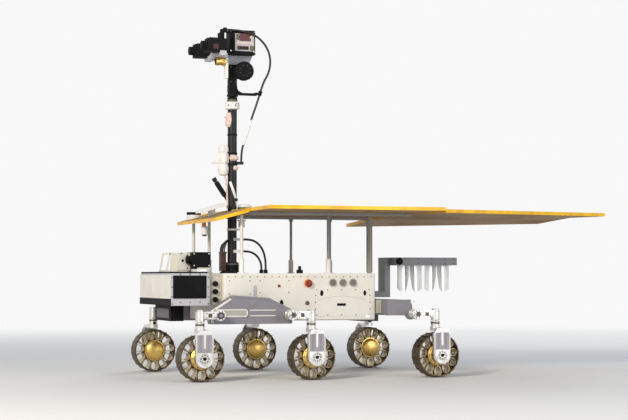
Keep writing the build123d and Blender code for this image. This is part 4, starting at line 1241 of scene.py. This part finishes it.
def ventFittings(shape):
    for side in (-1, 1):
        y1, y2 = span((body["face"] + 0.0052) * side, side, -0.001, 0.0008)
        shape.use("black")
        # seven slats across each round vent
        for x in body["vents"]:
            for k in range(-3, 4):
                up = k * body["slatPitch"]
                half, z = math.sqrt(body["ventRadius"] ** 2 - up ** 2), body["ventHeight"] + up
                shape.block((x - half, y1, z - 0.0013), (x + half, y2, z + 0.0013))


def makeStops():
    shape = Shape("orange")
    x, z = body["stop"]
    for side, out in bothSides:
        face = body["face"] * side
        shape.use("orange")
        shape.turned([(0.0, 0.0265), (0.008, 0.0265), (0.0095, 0.025), (0.0095, 0.013), (0.0, 0.013)],
                     (x, face, z), out, 40, True)
        shape.use("red")
        shape.turned([(0.0165, 0.0125), (0.0165, 0.0205), (0.0185, 0.0222), (0.0225, 0.0205), (0.0252, 0.015),
                      (0.0262, 0.008), (0.0265, 0.0)], (x, face, z), out, 40)
        shape.use("black").turned([(0.0095, 0.0125), (0.0168, 0.0125)], (x, face, z), out, 28)
    shape.piece("stop_buttons_dressed", "root", "stop_red", ("stop_buttons",), 0.0006)


for row in (
    ("main_body", "body", 0.0025, bodyFittings),
    ("body_lid", "body", 0.0012, lidFittings),
    ("side_panels", "body", 0.0008, panelFittings),
    ("side_vents", "vent", 0.0012, ventFittings),
):
    dressed(*row)
makeStops()


# Neck, front box, cameras and lower sensor

frontBox = {
    "side": 0.41,
    "front": 1.475,
    "plugs": (1.18, 0.38, (0.592, 0.543, 0.494)),
    "lowerFront": 1.42,
    "navEye": (1.265, 0.122, 0.7435),
    "navBack": 1.145,
    "navSide": 0.15,
}


def plugFittings(shape):
    x, y, heights = frontBox["plugs"]
    for side, out in bothSides:
        for z in heights:
            spot = (x, y * side, z)
            shape.turned([(0, 0.0185), (0.003, 0.0185), (0.003, 0.015)], spot, out, 8)
            for along in (0.006, 0.01, 0.014):
                shape.band(0.0148, 0.016, 0.003, spot, out, 28, 0.0008, along)


def boxFittings(shape):
    places = []
    for side, out in bothSides:
        face = frontBox["side"] * side
        places += grid(out, (1.2325, 1.4625), (face,), (0.468, 0.512, 0.572, 0.632))
        places += grid(out, (1.285, 1.348, 1.411), (face,), (0.4785, 0.65))
        y1, y2 = span(face, side, -0.0004, 0.0016)
        shape.use("frame").block((1.236, y1, 0.493), (1.461, y2, 0.4965))
    shape.screws(places, 0.003, 0.003)


def faceFittings(shape):
    front = frontBox["front"]
    places = grid(alongX, (front,), (-0.385, -0.13, 0.13, 0.385), (0.512, 0.635))
    shape.use("body")
    for y in (-0.2, 0.2):
        shape.block((front - 0.0004, y - 0.165, 0.527), (front + 0.0016, y + 0.165, 0.62))
    shape.use("window")
    shape.turned([(0, 0.0075), (0.0012, 0.0075), (0.0012, 0.0)], (front, 0.352, 0.566), alongX, 20)
    shape.screws(places, 0.0016, 0.003)


bracket = {
    "back": 1.265,
    "plate": 0.01,
    "low": 0.667,
    "foot": 0.01,
    "high": 0.789,
    "front": 1.425,
    "rib": (0.085, 0.095),
    "hole": (1.315, 0.738, 0.0085),
}


def makeBracket():
    # the plate and foot as in the CAD; each rib is opened between its web and a slanted front strut
    shape = Shape("body")
    back, low, high, front = bracket["back"], bracket["low"], bracket["high"], bracket["front"]
    near, far = bracket["rib"]
    shape.block((back, -far, low), (back + bracket["plate"], far, high))
    shape.block((back, -far, low), (front, far, low + bracket["foot"]))
    inset = 0.005
    web = [(back + inset, low + inset), (1.352, low + inset), (1.345, 0.767), (1.325, high),
           (back + inset, high)]
    strut = [(1.412, low + inset), (1.4225, low + inset), (1.402, high - 0.004), (1.3915, high - 0.004)]
    bar = [(1.318, high - 0.01), (1.402, high - 0.01), (1.4, high), (1.318, high)]
    places = []
    for side, out in bothSides:
        flat = upright(0, near * side, 0)
        for outline in (web, strut, bar):
            shape.plate(outline, -(far - near) * side, flat)
        # a thin black disc on each rib is painted shade where the rib's hole shows dark
        shape.use("window")
        x, z, radius = bracket["hole"]
        shape.turned([(0, radius), (0.0009, radius), (0.0009, 0.0)], (x, far * side, z), out, 24)
        shape.use("body")
        for x, z in ((1.284, 0.772), (1.284, 0.69), (1.397, 0.779)):
            places.append((Vector((x, far * side, z)), out))
    places += grid(backward, (back,), (-0.075, 0.075), (0.7, 0.775))
    shape.screws(places, 0.0032, 0.004)
    shape.piece("sensor_bracket_dressed", "root", slotOf["sensor_bracket"], ("sensor_bracket",), 0.0012)


def lensFittings(shape, spots, radius, reach):
    # a hood with stepped rings and a domed front glass, looking along +X
    hood = [(0, 1.12), (0.006, 1.12), (0.008, 1.02), (0.012, 1.02)]
    rim = [(reach - 0.002, 0.99), (reach, 0.96), (reach, 0.86), (reach - 0.005, 0.8)]
    glass = [(reach - 0.006, 0.82), (reach - 0.0035, 0.6), (reach - 0.002, 0.3), (reach - 0.0015, 0)]
    for spot in spots:
        for finish, profile, sides in (("black", hood, 40), ("bright", rim, 40), ("lens", glass, 32)):
            shape.use(finish)
            shape.turned([(along, radius * share) for along, share in profile], spot, alongX, sides)
        shape.use("black")
        for share in (0.35, 0.5, 0.65):
            shape.band(radius, radius * 1.06, 0.004, spot, alongX, 40, 0.001, reach * share)


def navFittings(shape):
    x, eye, z = frontBox["navEye"]
    lensFittings(shape, [(x, eye, z), (x, -eye, z)], 0.024, 0.034)
    shape.use("black")
    for k in range(6):
        x = 1.158 + k * 0.012
        shape.block((x, -0.128, 0.7915), (x + 0.004, 0.128, 0.7922))
    places = []
    for side, out in bothSides:
        places += grid(out, (1.156, 1.254), (frontBox["navSide"] * side,), (0.706, 0.781))
    shape.screws(places, 0.0028, 0.0035, "bright")
    shape.use("bright")
    for y in (-0.05, 0.05):
        shape.turned([(0, 0.011), (0.01, 0.011), (0.012, 0.009), (0.012, 0)],
                     (frontBox["navBack"], y, 0.742), backward, 20)
    # pale feet under the housing and a shallow groove between its two lobes
    shape.use("body")
    for side in (-1, 1):
        y1, y2 = span(0, side, 0.1, 0.146)
        shape.block((1.232, y1, 0.667), (1.262, y2, 0.697))
        shape.block((1.15, y1, 0.684), (1.262, y2, 0.697))


def lowerFittings(shape):
    shape.use("black")
    for side in (-1, 1):
        y1, y2 = span(0, side, 0.2, 0.2025)
        for x in (1.34, 1.356, 1.372, 1.388, 1.404):
            shape.block((x, y1, 0.368), (x + 0.006, y2, 0.446))
    front = frontBox["lowerFront"]
    shape.use("pivot").block((front - 0.0005, -0.16, 0.375), (front + 0.0015, 0.16, 0.435))
    places = grid(alongX, (front,), (-0.185, 0.185), (0.37, 0.442))
    shape.screws(places, 0.003, 0.003)


for row in (
    ("top_connector", "black", 0.001),
    ("neck", "neck", 0.002),
    ("neck_connectors", "black", 0.001, plugFittings),
    ("front_box", "frame", 0.004, boxFittings),
    ("front_windows", "window", 0.0008),
    ("front_face", "body", 0.0012, faceFittings),
    ("front_band", "black", 0.001),
    ("front_lid", "black", 0.0012),
    ("lower_sensor", "black", 0.002, lowerFittings),
):
    dressed(*row)
makeBracket()
dressed("nav_camera", "black", 0.0015, navFittings)
print("stage: body and front box")


# Mast: foot, tube, collar, folded covers, strut sleeve, junction box and wrapped instrument

mast = {
    "x": 0.961,
    "collar": (1.72, 1.77),
    "packLow": 1.29,
    "packHigh": 1.49,
    "packOut": 0.0585,
    "packHalf": (0.039, 0.045),
    # share of the height, and the girth there
    "waists": ((0.0, 0.56), (0.05, 0.8), (0.18, 1.0), (0.3, 0.95), (0.36, 0.72), (0.42, 0.95), (0.55, 1.0),
               (0.66, 0.93), (0.72, 0.7), (0.78, 0.9), (0.88, 0.92), (0.96, 0.74), (1.0, 0.5)),
    "ties": (0.36, 0.72),
}


def footFittings(shape):
    shape.screws(ringAbout(turns(8), 0.066, mast["x"], 0, 0.669), 0.0045, 0.0055)
    shape.use("pivot").band(0.0425, 0.0455, 0.01, (mast["x"], 0, 0.712), alongZ, 48)


def tubeFittings(shape):
    # clamped rings where the mast's sections meet, and a flat spare strap down its near side
    x = mast["x"]
    for finish, outer, height, z in (("black", 0.0328, 0.012, 1.55), ("black", 0.0328, 0.012, 1.788),
                                     ("olive", 0.035, 0.012, 1.773), ("white", 0.0345, 0.014, 0.934)):
        shape.use(finish).band(0.0302, outer, height, (x, 0, z), alongZ, 44, 0.001)
    shape.block((x - 0.056, 0.006, 0.935), (x - 0.031, 0.022, 0.947))
    # the strap winds half round the mast as it comes down
    rings = []
    steps = 24
    for i in range(steps + 1):
        share = i / steps
        middle, z = math.radians(48 + 104 * share), 1.25 - 0.158 * share
        ring = []
        for radius, way in ((0.0296, -1), (0.0331, -1), (0.0331, 1), (0.0296, 1)):
            angle = middle + 0.25 * way
            point = (x + radius * math.cos(angle), radius * math.sin(angle), z + 0.002 * way)
            ring.append(shape.mesh.verts.new(point))
        rings.append(ring)
    shape.skin(rings)


def makeMastCovers():
    # a folded cover below the collar, and the junction box with its leads at the mast's foot
    x = mast["x"]
    cover = Shape("fold")
    cover.soft([(x + 0.02, 0, 1.606, 0.016, 0.022), (x + 0.024, 0, 1.622, 0.027, 0.031),
                (x + 0.021, 0, 1.65, 0.022, 0.03), (x + 0.025, 0, 1.672, 0.028, 0.033),
                (x + 0.018, 0, 1.698, 0.018, 0.024)])
    # two folds of the lower bundle lie round the mast's near side, and a tail hangs down its front
    cover.soft([(x - 0.002, 0.03, 1.386, 0.02, 0.012), (x - 0.004, 0.034, 1.396, 0.033, 0.019),
                (x - 0.002, 0.033, 1.412, 0.03, 0.018), (x + 0.004, 0.03, 1.424, 0.016, 0.011)], 28)
    cover.soft([(x - 0.014, 0.028, 1.326, 0.011, 0.009), (x - 0.016, 0.031, 1.334, 0.019, 0.013),
                (x - 0.015, 0.031, 1.346, 0.018, 0.013), (x - 0.012, 0.028, 1.354, 0.01, 0.008)], 28)
    cover.tube([(x + 0.052, 0.006, 1.3), (x + 0.046, 0.008, 1.262), (x + 0.04, 0.01, 1.215),
                (x + 0.038, 0.012, 1.16), (x + 0.036, 0.014, 1.11), (x + 0.037, 0.014, 1.076)], 0.0062, 10)
    cover.piece("mast_cover", "root", slotOf["mast_instrument"])
    sleeve = Shape("black")
    sleeve.rod((x + 0.048, 0, 1.158), (x + 0.108, 0, 1.247), 0.0165, 24, 0.003)
    sleeve.piece("strut_sleeve", "root", slotOf["mast_tube"])
    box = Shape("brown")
    box.block((x + 0.048, -0.03, 0.672), (x + 0.079, 0.03, 0.79))
    box.block((x + 0.044, -0.034, 0.786), (x + 0.081, 0.034, 0.796))
    box.use("cable")
    for y, reach in ((-0.02, 0.072), (-0.007, 0.062), (0.007, 0.07), (0.02, 0.058)):
        box.tube([(x + reach, y, 0.79), (x + reach, y, 0.815), (x + reach - 0.008, y, 0.84),
                  (x + 0.042, y * 0.9, 0.86), (x + 0.028, y * 0.8, 0.872)], 0.0052, 12)
    box.use("steel")
    places = grid(alongX, (x + 0.079,), (-0.023, 0.023), (0.682, 0.778))
    box.screws(places, 0.0026, 0.003)
    box.piece("mast_junction_box", "root", slotOf["top_connector"], (), 0.0012)


def clampFittings(shape):
    x = mast["x"]
    low, high = mast["collar"]
    shape.tint("mast", lambda spot: 1.1 < spot.z < 1.42)
    shape.use("white")
    for z in (low + 0.004, high - 0.014):
        shape.band(0.0455, 0.0475, 0.01, (x, 0, z), alongZ, 48, 0.002)
    places = []
    for degrees in range(40, 360, 60):
        out = Vector((math.cos(math.radians(degrees)), math.sin(math.radians(degrees)), 0))
        places.append((Vector((x, 0, (low + high) / 2)) + out * 0.0452, out))
    shape.screws(places, 0.0035, 0.004)


def makeWrap():
    # blanket laced round the small instrument: three soft lobes gathered by two ties
    x = mast["x"]
    shape = Shape("wrap")
    low, high = mast["packLow"], mast["packHigh"]
    tall = high - low
    wide, deep = mast["packHalf"]
    rows = [(x + mast["packOut"], 0, low + tall * share, wide * girth, deep * girth)
            for share, girth in mast["waists"]]
    shape.soft(rows, 48, ((4, 5, 0.035), (7, -9, 0.035), (13, 17, 0.022)))
    shape.use("white").rod((x + 0.085, 0, 1.376), (x + 0.142, 0, 1.376), 0.0085, 20, 0.002)
    shape.use("orange").rod((x + 0.1385, 0, 1.376), (x + 0.1415, 0, 1.376), 0.0062, 16)
    shape.use("black")
    for share in mast["ties"]:
        shape.band(0.0302, 0.0335, 0.012, (x, 0, low + share * tall - 0.006), alongZ, 40)
    made = shape.piece("mast_instrument_dressed", "root", slotOf["mast_instrument"], ("mast_instrument",))
    smooth = made.modifiers.new("soft", "SUBSURF")
    smooth.levels = 1
    smooth.render_levels = 1


for row in (
    ("mast_foot", "black", 0.0015, footFittings),
    ("mast_tube", "mast", 0.001, tubeFittings),
    ("mast_clamps", "white", 0.0008, clampFittings),
):
    dressed(*row)
makeMastCovers()
makeWrap()
print("stage: mast")


# Head: pan unit, tilt motor, tilting frame, cameras and electronics box

head = {
    "motor": (0.897, 0.025, 1.968),
    "eye": (1.179, 0.151, 2.112),
    "boxFace": 0.042,
    "cableLean": math.radians(17.5),
    # parts on each side of the box; the last is the case's thick roof edge
    "boxParts": (
        ("darkRed", 0.852, 0.926, 2.166, 2.212),
        ("olive", 0.93, 0.948, 2.172, 2.208),
        ("olive", 0.826, 0.856, 2.104, 2.134),
        ("fold", 0.834, 0.95, 2.145, 2.157),
        ("brown", 0.866, 0.94, 2.108, 2.132),
        ("black", 0.83, 0.984, 2.214, 2.232),
    ),
}


def panFittings(shape):
    shape.use("black")
    for z in (1.8385, 1.8465, 1.8545, 1.8625, 1.8705):
        shape.block((0.9342, -0.0262, z), (0.9898, 0.0262, z + 0.004))
    places = ringAbout([math.radians(t) for t in (55, 125, 235, 305)], 0.0315, mast["x"], 0, 1.816)
    for side, out in bothSides:
        places += grid(out, (0.945, 0.979), (0.025 * side,), (1.9, 1.995))
    shape.screws(places, 0.0028, 0.0035)


def motorFittings(shape):
    # cooling rings round the drum, a stepped end cap and its screws
    start = head["motor"]
    shape.use("black")
    for along in (0.01, 0.017, 0.024, 0.031, 0.038):
        shape.band(0.0595, 0.0618, 0.003, start, alongY, 60, 0.0004, along)
    end = 0.0545
    cap = [(0.0495, 0.046), (0.0535, 0.045), (end, 0.043), (end, 0.02), (0.052, 0.019), (0.052, 0)]
    shape.turned(cap, start, alongY, 48)
    shape.screws(ringPlaces(8, 0.0365, end, 1, 0.5, start), 0.0026, 0.0035)


def frameFittings(shape):
    shape.tint("black", lambda spot: spot.z > 2.0775)
    places = ringPlaces(6, 0.028, -0.067, -1, 0.0, head["motor"])
    places += rowOf((0.83, -0.028, 2.09), (1.08, -0.028, 2.09), 7, alongZ)
    shape.screws(places, 0.0028, 0.0035)
    # the pale strip that carries the small telescope
    shape.use("white").block((1.0115, 0.0325, 1.915), (1.0245, 0.0755, 2.046))
    shape.use("body").block((1.0245, 0.036, 1.93), (1.0285, 0.072, 1.99))


def rearBoxFittings(shape):
    for side, out in bothSides:
        face = head["boxFace"] * side
        # a light backing sheet with the parts it carries
        y1, y2 = span(face, side, 0, 0.0016)
        shape.use("frame").block((0.827, y1, 2.1), (0.956, y2, 2.226))
        y1, y2 = span(face, side, 0.001, 0.006)
        for finish, x1, x2, z1, z2 in head["boxParts"]:
            shape.use(finish).block((x1, y1, z1), (x2, y2, z2))
        y3, y4 = span(face, side, 0, 0.0075)
        shape.block((0.958, y3, 2.096), (0.974, y4, 2.205))
        for x in (0.876, 0.897, 0.918):
            shape.turned([(0, 0.0065), (0.007, 0.0065), (0.008, 0.005), (0.008, 0)], (x, face, 2.12), out, 16)
        shape.use("gold")
        shape.turned([(0.0035, 0.006), (0.007, 0.006), (0.0075, 0.0)], (0.852, face, 2.19), out, 16)
        shape.screws(grid(out, (0.829, 0.983), (face,), (2.1, 2.226)), 0.0028, 0.003, "bright")


def eyeFittings(shape):
    x, eye, z = head["eye"]
    lensFittings(shape, [(x, -eye, z), (x, eye, z)], 0.027, 0.034)
    shape.use("black")
    for side in (-1, 1):
        middle = eye * side
        for k in range(5):
            x = 1.105 + k * 0.013
            shape.block((x, middle - 0.033, 2.1555), (x + 0.005, middle + 0.033, 2.1615))
        shape.turned([(0, 0.01), (0.01, 0.01), (0.012, 0.008), (0.016, 0.008), (0.016, 0.0)],
                     (1.072, middle, 2.1555), alongZ, 20)
    shape.use("brown").block((1.108, 0.1895, 2.086), (1.142, 0.1912, 2.118))
    shape.use("black")
    for x1, x2, y1, y2, top in ((1.062, 1.096, 0.12, 0.166, 2.196), (1.058, 1.082, 0.126, 0.15, 2.222)):
        shape.block((x1, y1, 2.15), (x2, y2, top))
    # the near telescope is a gold barrel with a dark front glass
    shape.use("gold")
    start = (1.024, 0.054, 2.023)
    barrel = [(0, 0.0235), (0, 0.0245), (0.008, 0.0252), (0.01, 0.0242), (0.044, 0.0242), (0.046, 0.0262),
              (0.062, 0.0262), (0.065, 0.024), (0.065, 0.02), (0.058, 0.019)]
    shape.turned(barrel, start, alongX, 44)
    shape.use("lens").turned([(0.057, 0.0195), (0.06, 0.012), (0.061, 0)], start, alongX, 32)


def cableArmFittings(shape):
    shape.use("black")
    lean = head["cableLean"]
    for share in (-0.3, 0.3):
        spot = (0.791 - share * 0.03 * math.sin(lean), 0.057, 1.826 + share * 0.03 * math.cos(lean))
        shape.band(0.0118, 0.0138, 0.006, spot, (-math.sin(lean), 0, math.cos(lean)), 28, 0.001, -0.003)


for row in (
    ("pan_unit", "black", 0.0015, panFittings),
    ("tilt_motor", "black", 0.0012, motorFittings),
    ("cable_arm", "black", 0.0015, cableArmFittings),
    ("tilt_frame", "frame", 0.0012, frameFittings),
    ("rear_box", "black", 0.0015, rearBoxFittings),
    ("mast_cameras", "black", 0.0015, eyeFittings),
):
    dressed(*row)
print("stage: head")


# Deck: core panels with golden tape round their edges, rails, posts and antennas

deck = {
    "middlePosts": ((0.435, 0.38), (0.435, -0.38)),
    "rearPosts": ((0.155, 0.38), (0.155, -0.38)),
    "frontPosts": ((1.01, 0.38), (1.01, -0.38), (1.113, -0.396)),
    "sleeveLow": 0.7,
    "sleeveHigh": (1.022, 1.022, 0.994),
}


def deckScrews(rows):
    def add(shape):
        places = []
        for start, end, count in rows:
            places += rowOf(start, end, count, alongZ)
        shape.screws(places, 0.0045, 0.0035, "post")
    return add


def postFittings(shape):
    shape.use("white")
    boot = [(0, 0.0155), (0, 0.0165), (0.088, 0.0165), (0.094, 0.0125), (0.094, 0.0092)]
    flange = [(0, 0.026), (0.005, 0.026), (0.007, 0.024), (0.007, 0.0155)]
    middle, rear, front = deck["middlePosts"], deck["rearPosts"], deck["frontPosts"]
    for x, y in middle + rear[1:] + front:
        shape.turned(boot, (x, y, body["top"]), alongZ, 28)
        shape.turned(flange, (x, y, body["top"]), alongZ, 28)
    # white sleeves up the front posts, each ending under the sloping flap
    shape.use("body")
    low = deck["sleeveLow"]
    for (x, y), high in zip(front, deck["sleeveHigh"]):
        shape.band(0.0094, 0.0104, high - low, (x, y, low), alongZ, 24)
    shape.use("post")
    for x, y in middle + rear:
        shape.band(0.0092, 0.014, 0.014, (x, y, railLow - 0.0145), alongZ, 24)


def discFittings(shape):
    shape.use("black")
    for x, y, z in ((0.876, 0, deckTop + 0.0005), (*deck["frontPosts"][2], 1.047)):
        edge = [(0, 0.0462), (0, 0.0475), (0.017, 0.0475), (0.019, 0.0462)]
        shape.turned(edge, (x, y, z), alongZ, 48, True)


def makeDeckExtras():
    # a wide sleeve on the rear left post, and two small items hanging below the deck
    sleeve = Shape("postSleeve")
    section = [(0, 0.0154), (0, 0.018), (0.002, 0.0195), (0.352, 0.0195), (0.354, 0.018), (0.354, 0.0154)]
    sleeve.turned(section, (*deck["rearPosts"][0], 0.6655), alongZ, 36, True)
    sleeve.piece("rear_post_sleeve", "root", slotOf["deck_posts"])
    items = Shape("orange")
    items.rod((1.15, 0, 0.958), (1.15, 0, 0.9955), 0.0145, 28, 0.002)
    items.use("white").rod((1.146, 0, 0.905), (1.146, 0, 0.96), 0.0215, 32, 0.003)
    items.block((0.88, -0.016, 0.955), (0.914, 0.016, 1.000))
    items.block((0.872, -0.022, 0.998), (0.922, 0.022, 1.006))
    items.use("black").rod((1.146, 0, 0.897), (1.146, 0, 0.906), 0.015, 28, 0.001)
    items.rod((0.897, 0, 1.004), (0.897, 0, deckLow + 0.002), 0.006, 16)
    items.piece("deck_underside_items", "root", slotOf["disc_antennas"], (), 0.001)


deckLow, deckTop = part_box("deck_center")[0][2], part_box("deck_center")[1][2]
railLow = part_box("deck_rails")[0][2]
dressed("deck_center", "deck", 0.0, deckScrews([
    ((-0.11, y, deckTop), (0.94, y, deckTop), 12) for y in (0.38, -0.38)]), "tape")
for node in ("deck_flap", "deck_wing_left", "deck_wing_right", "deck_tail_left", "deck_tail_right"):
    dressed(node, "deck", 0.0, None, "tape")
for row in (
    ("deck_rails", "post", 0.0015),
    ("deck_posts", "post", 0.0008, postFittings),
    ("disc_antennas", "white", 0.001, discFittings),
    ("plate_antenna", "white", 0.0012),
):
    dressed(*row)
makeDeckExtras()
print("stage: deck")


# Ground radar antenna behind the body

def radarFittings(shape):
    # bright horn sheets under a dark plate, which has a round black end at the stem
    low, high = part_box("radar_antenna")
    plateLow = 0.712
    shape.tint("silver", lambda spot: spot.z < plateLow - 0.0005)
    shape.use("black")
    places = []
    for side, out in bothSides:
        shape.turned([(0, 0.024), (0.004, 0.024), (0.005, 0.022), (0.005, 0.0)],
                     (high[0] - 0.03, high[1] * side, (plateLow + high[2]) / 2), out, 32)
        places += grid(out, (low[0] + 0.03, -0.47, -0.375, -0.28, -0.185), (high[1] * side,), (0.722, 0.753))
    shape.screws(places, 0.003, 0.0032)


dressed("radar_antenna", "radar", 0.0015, radarFittings)
dressed("radar_mount", "radar", 0.002)
print("stage: radar")
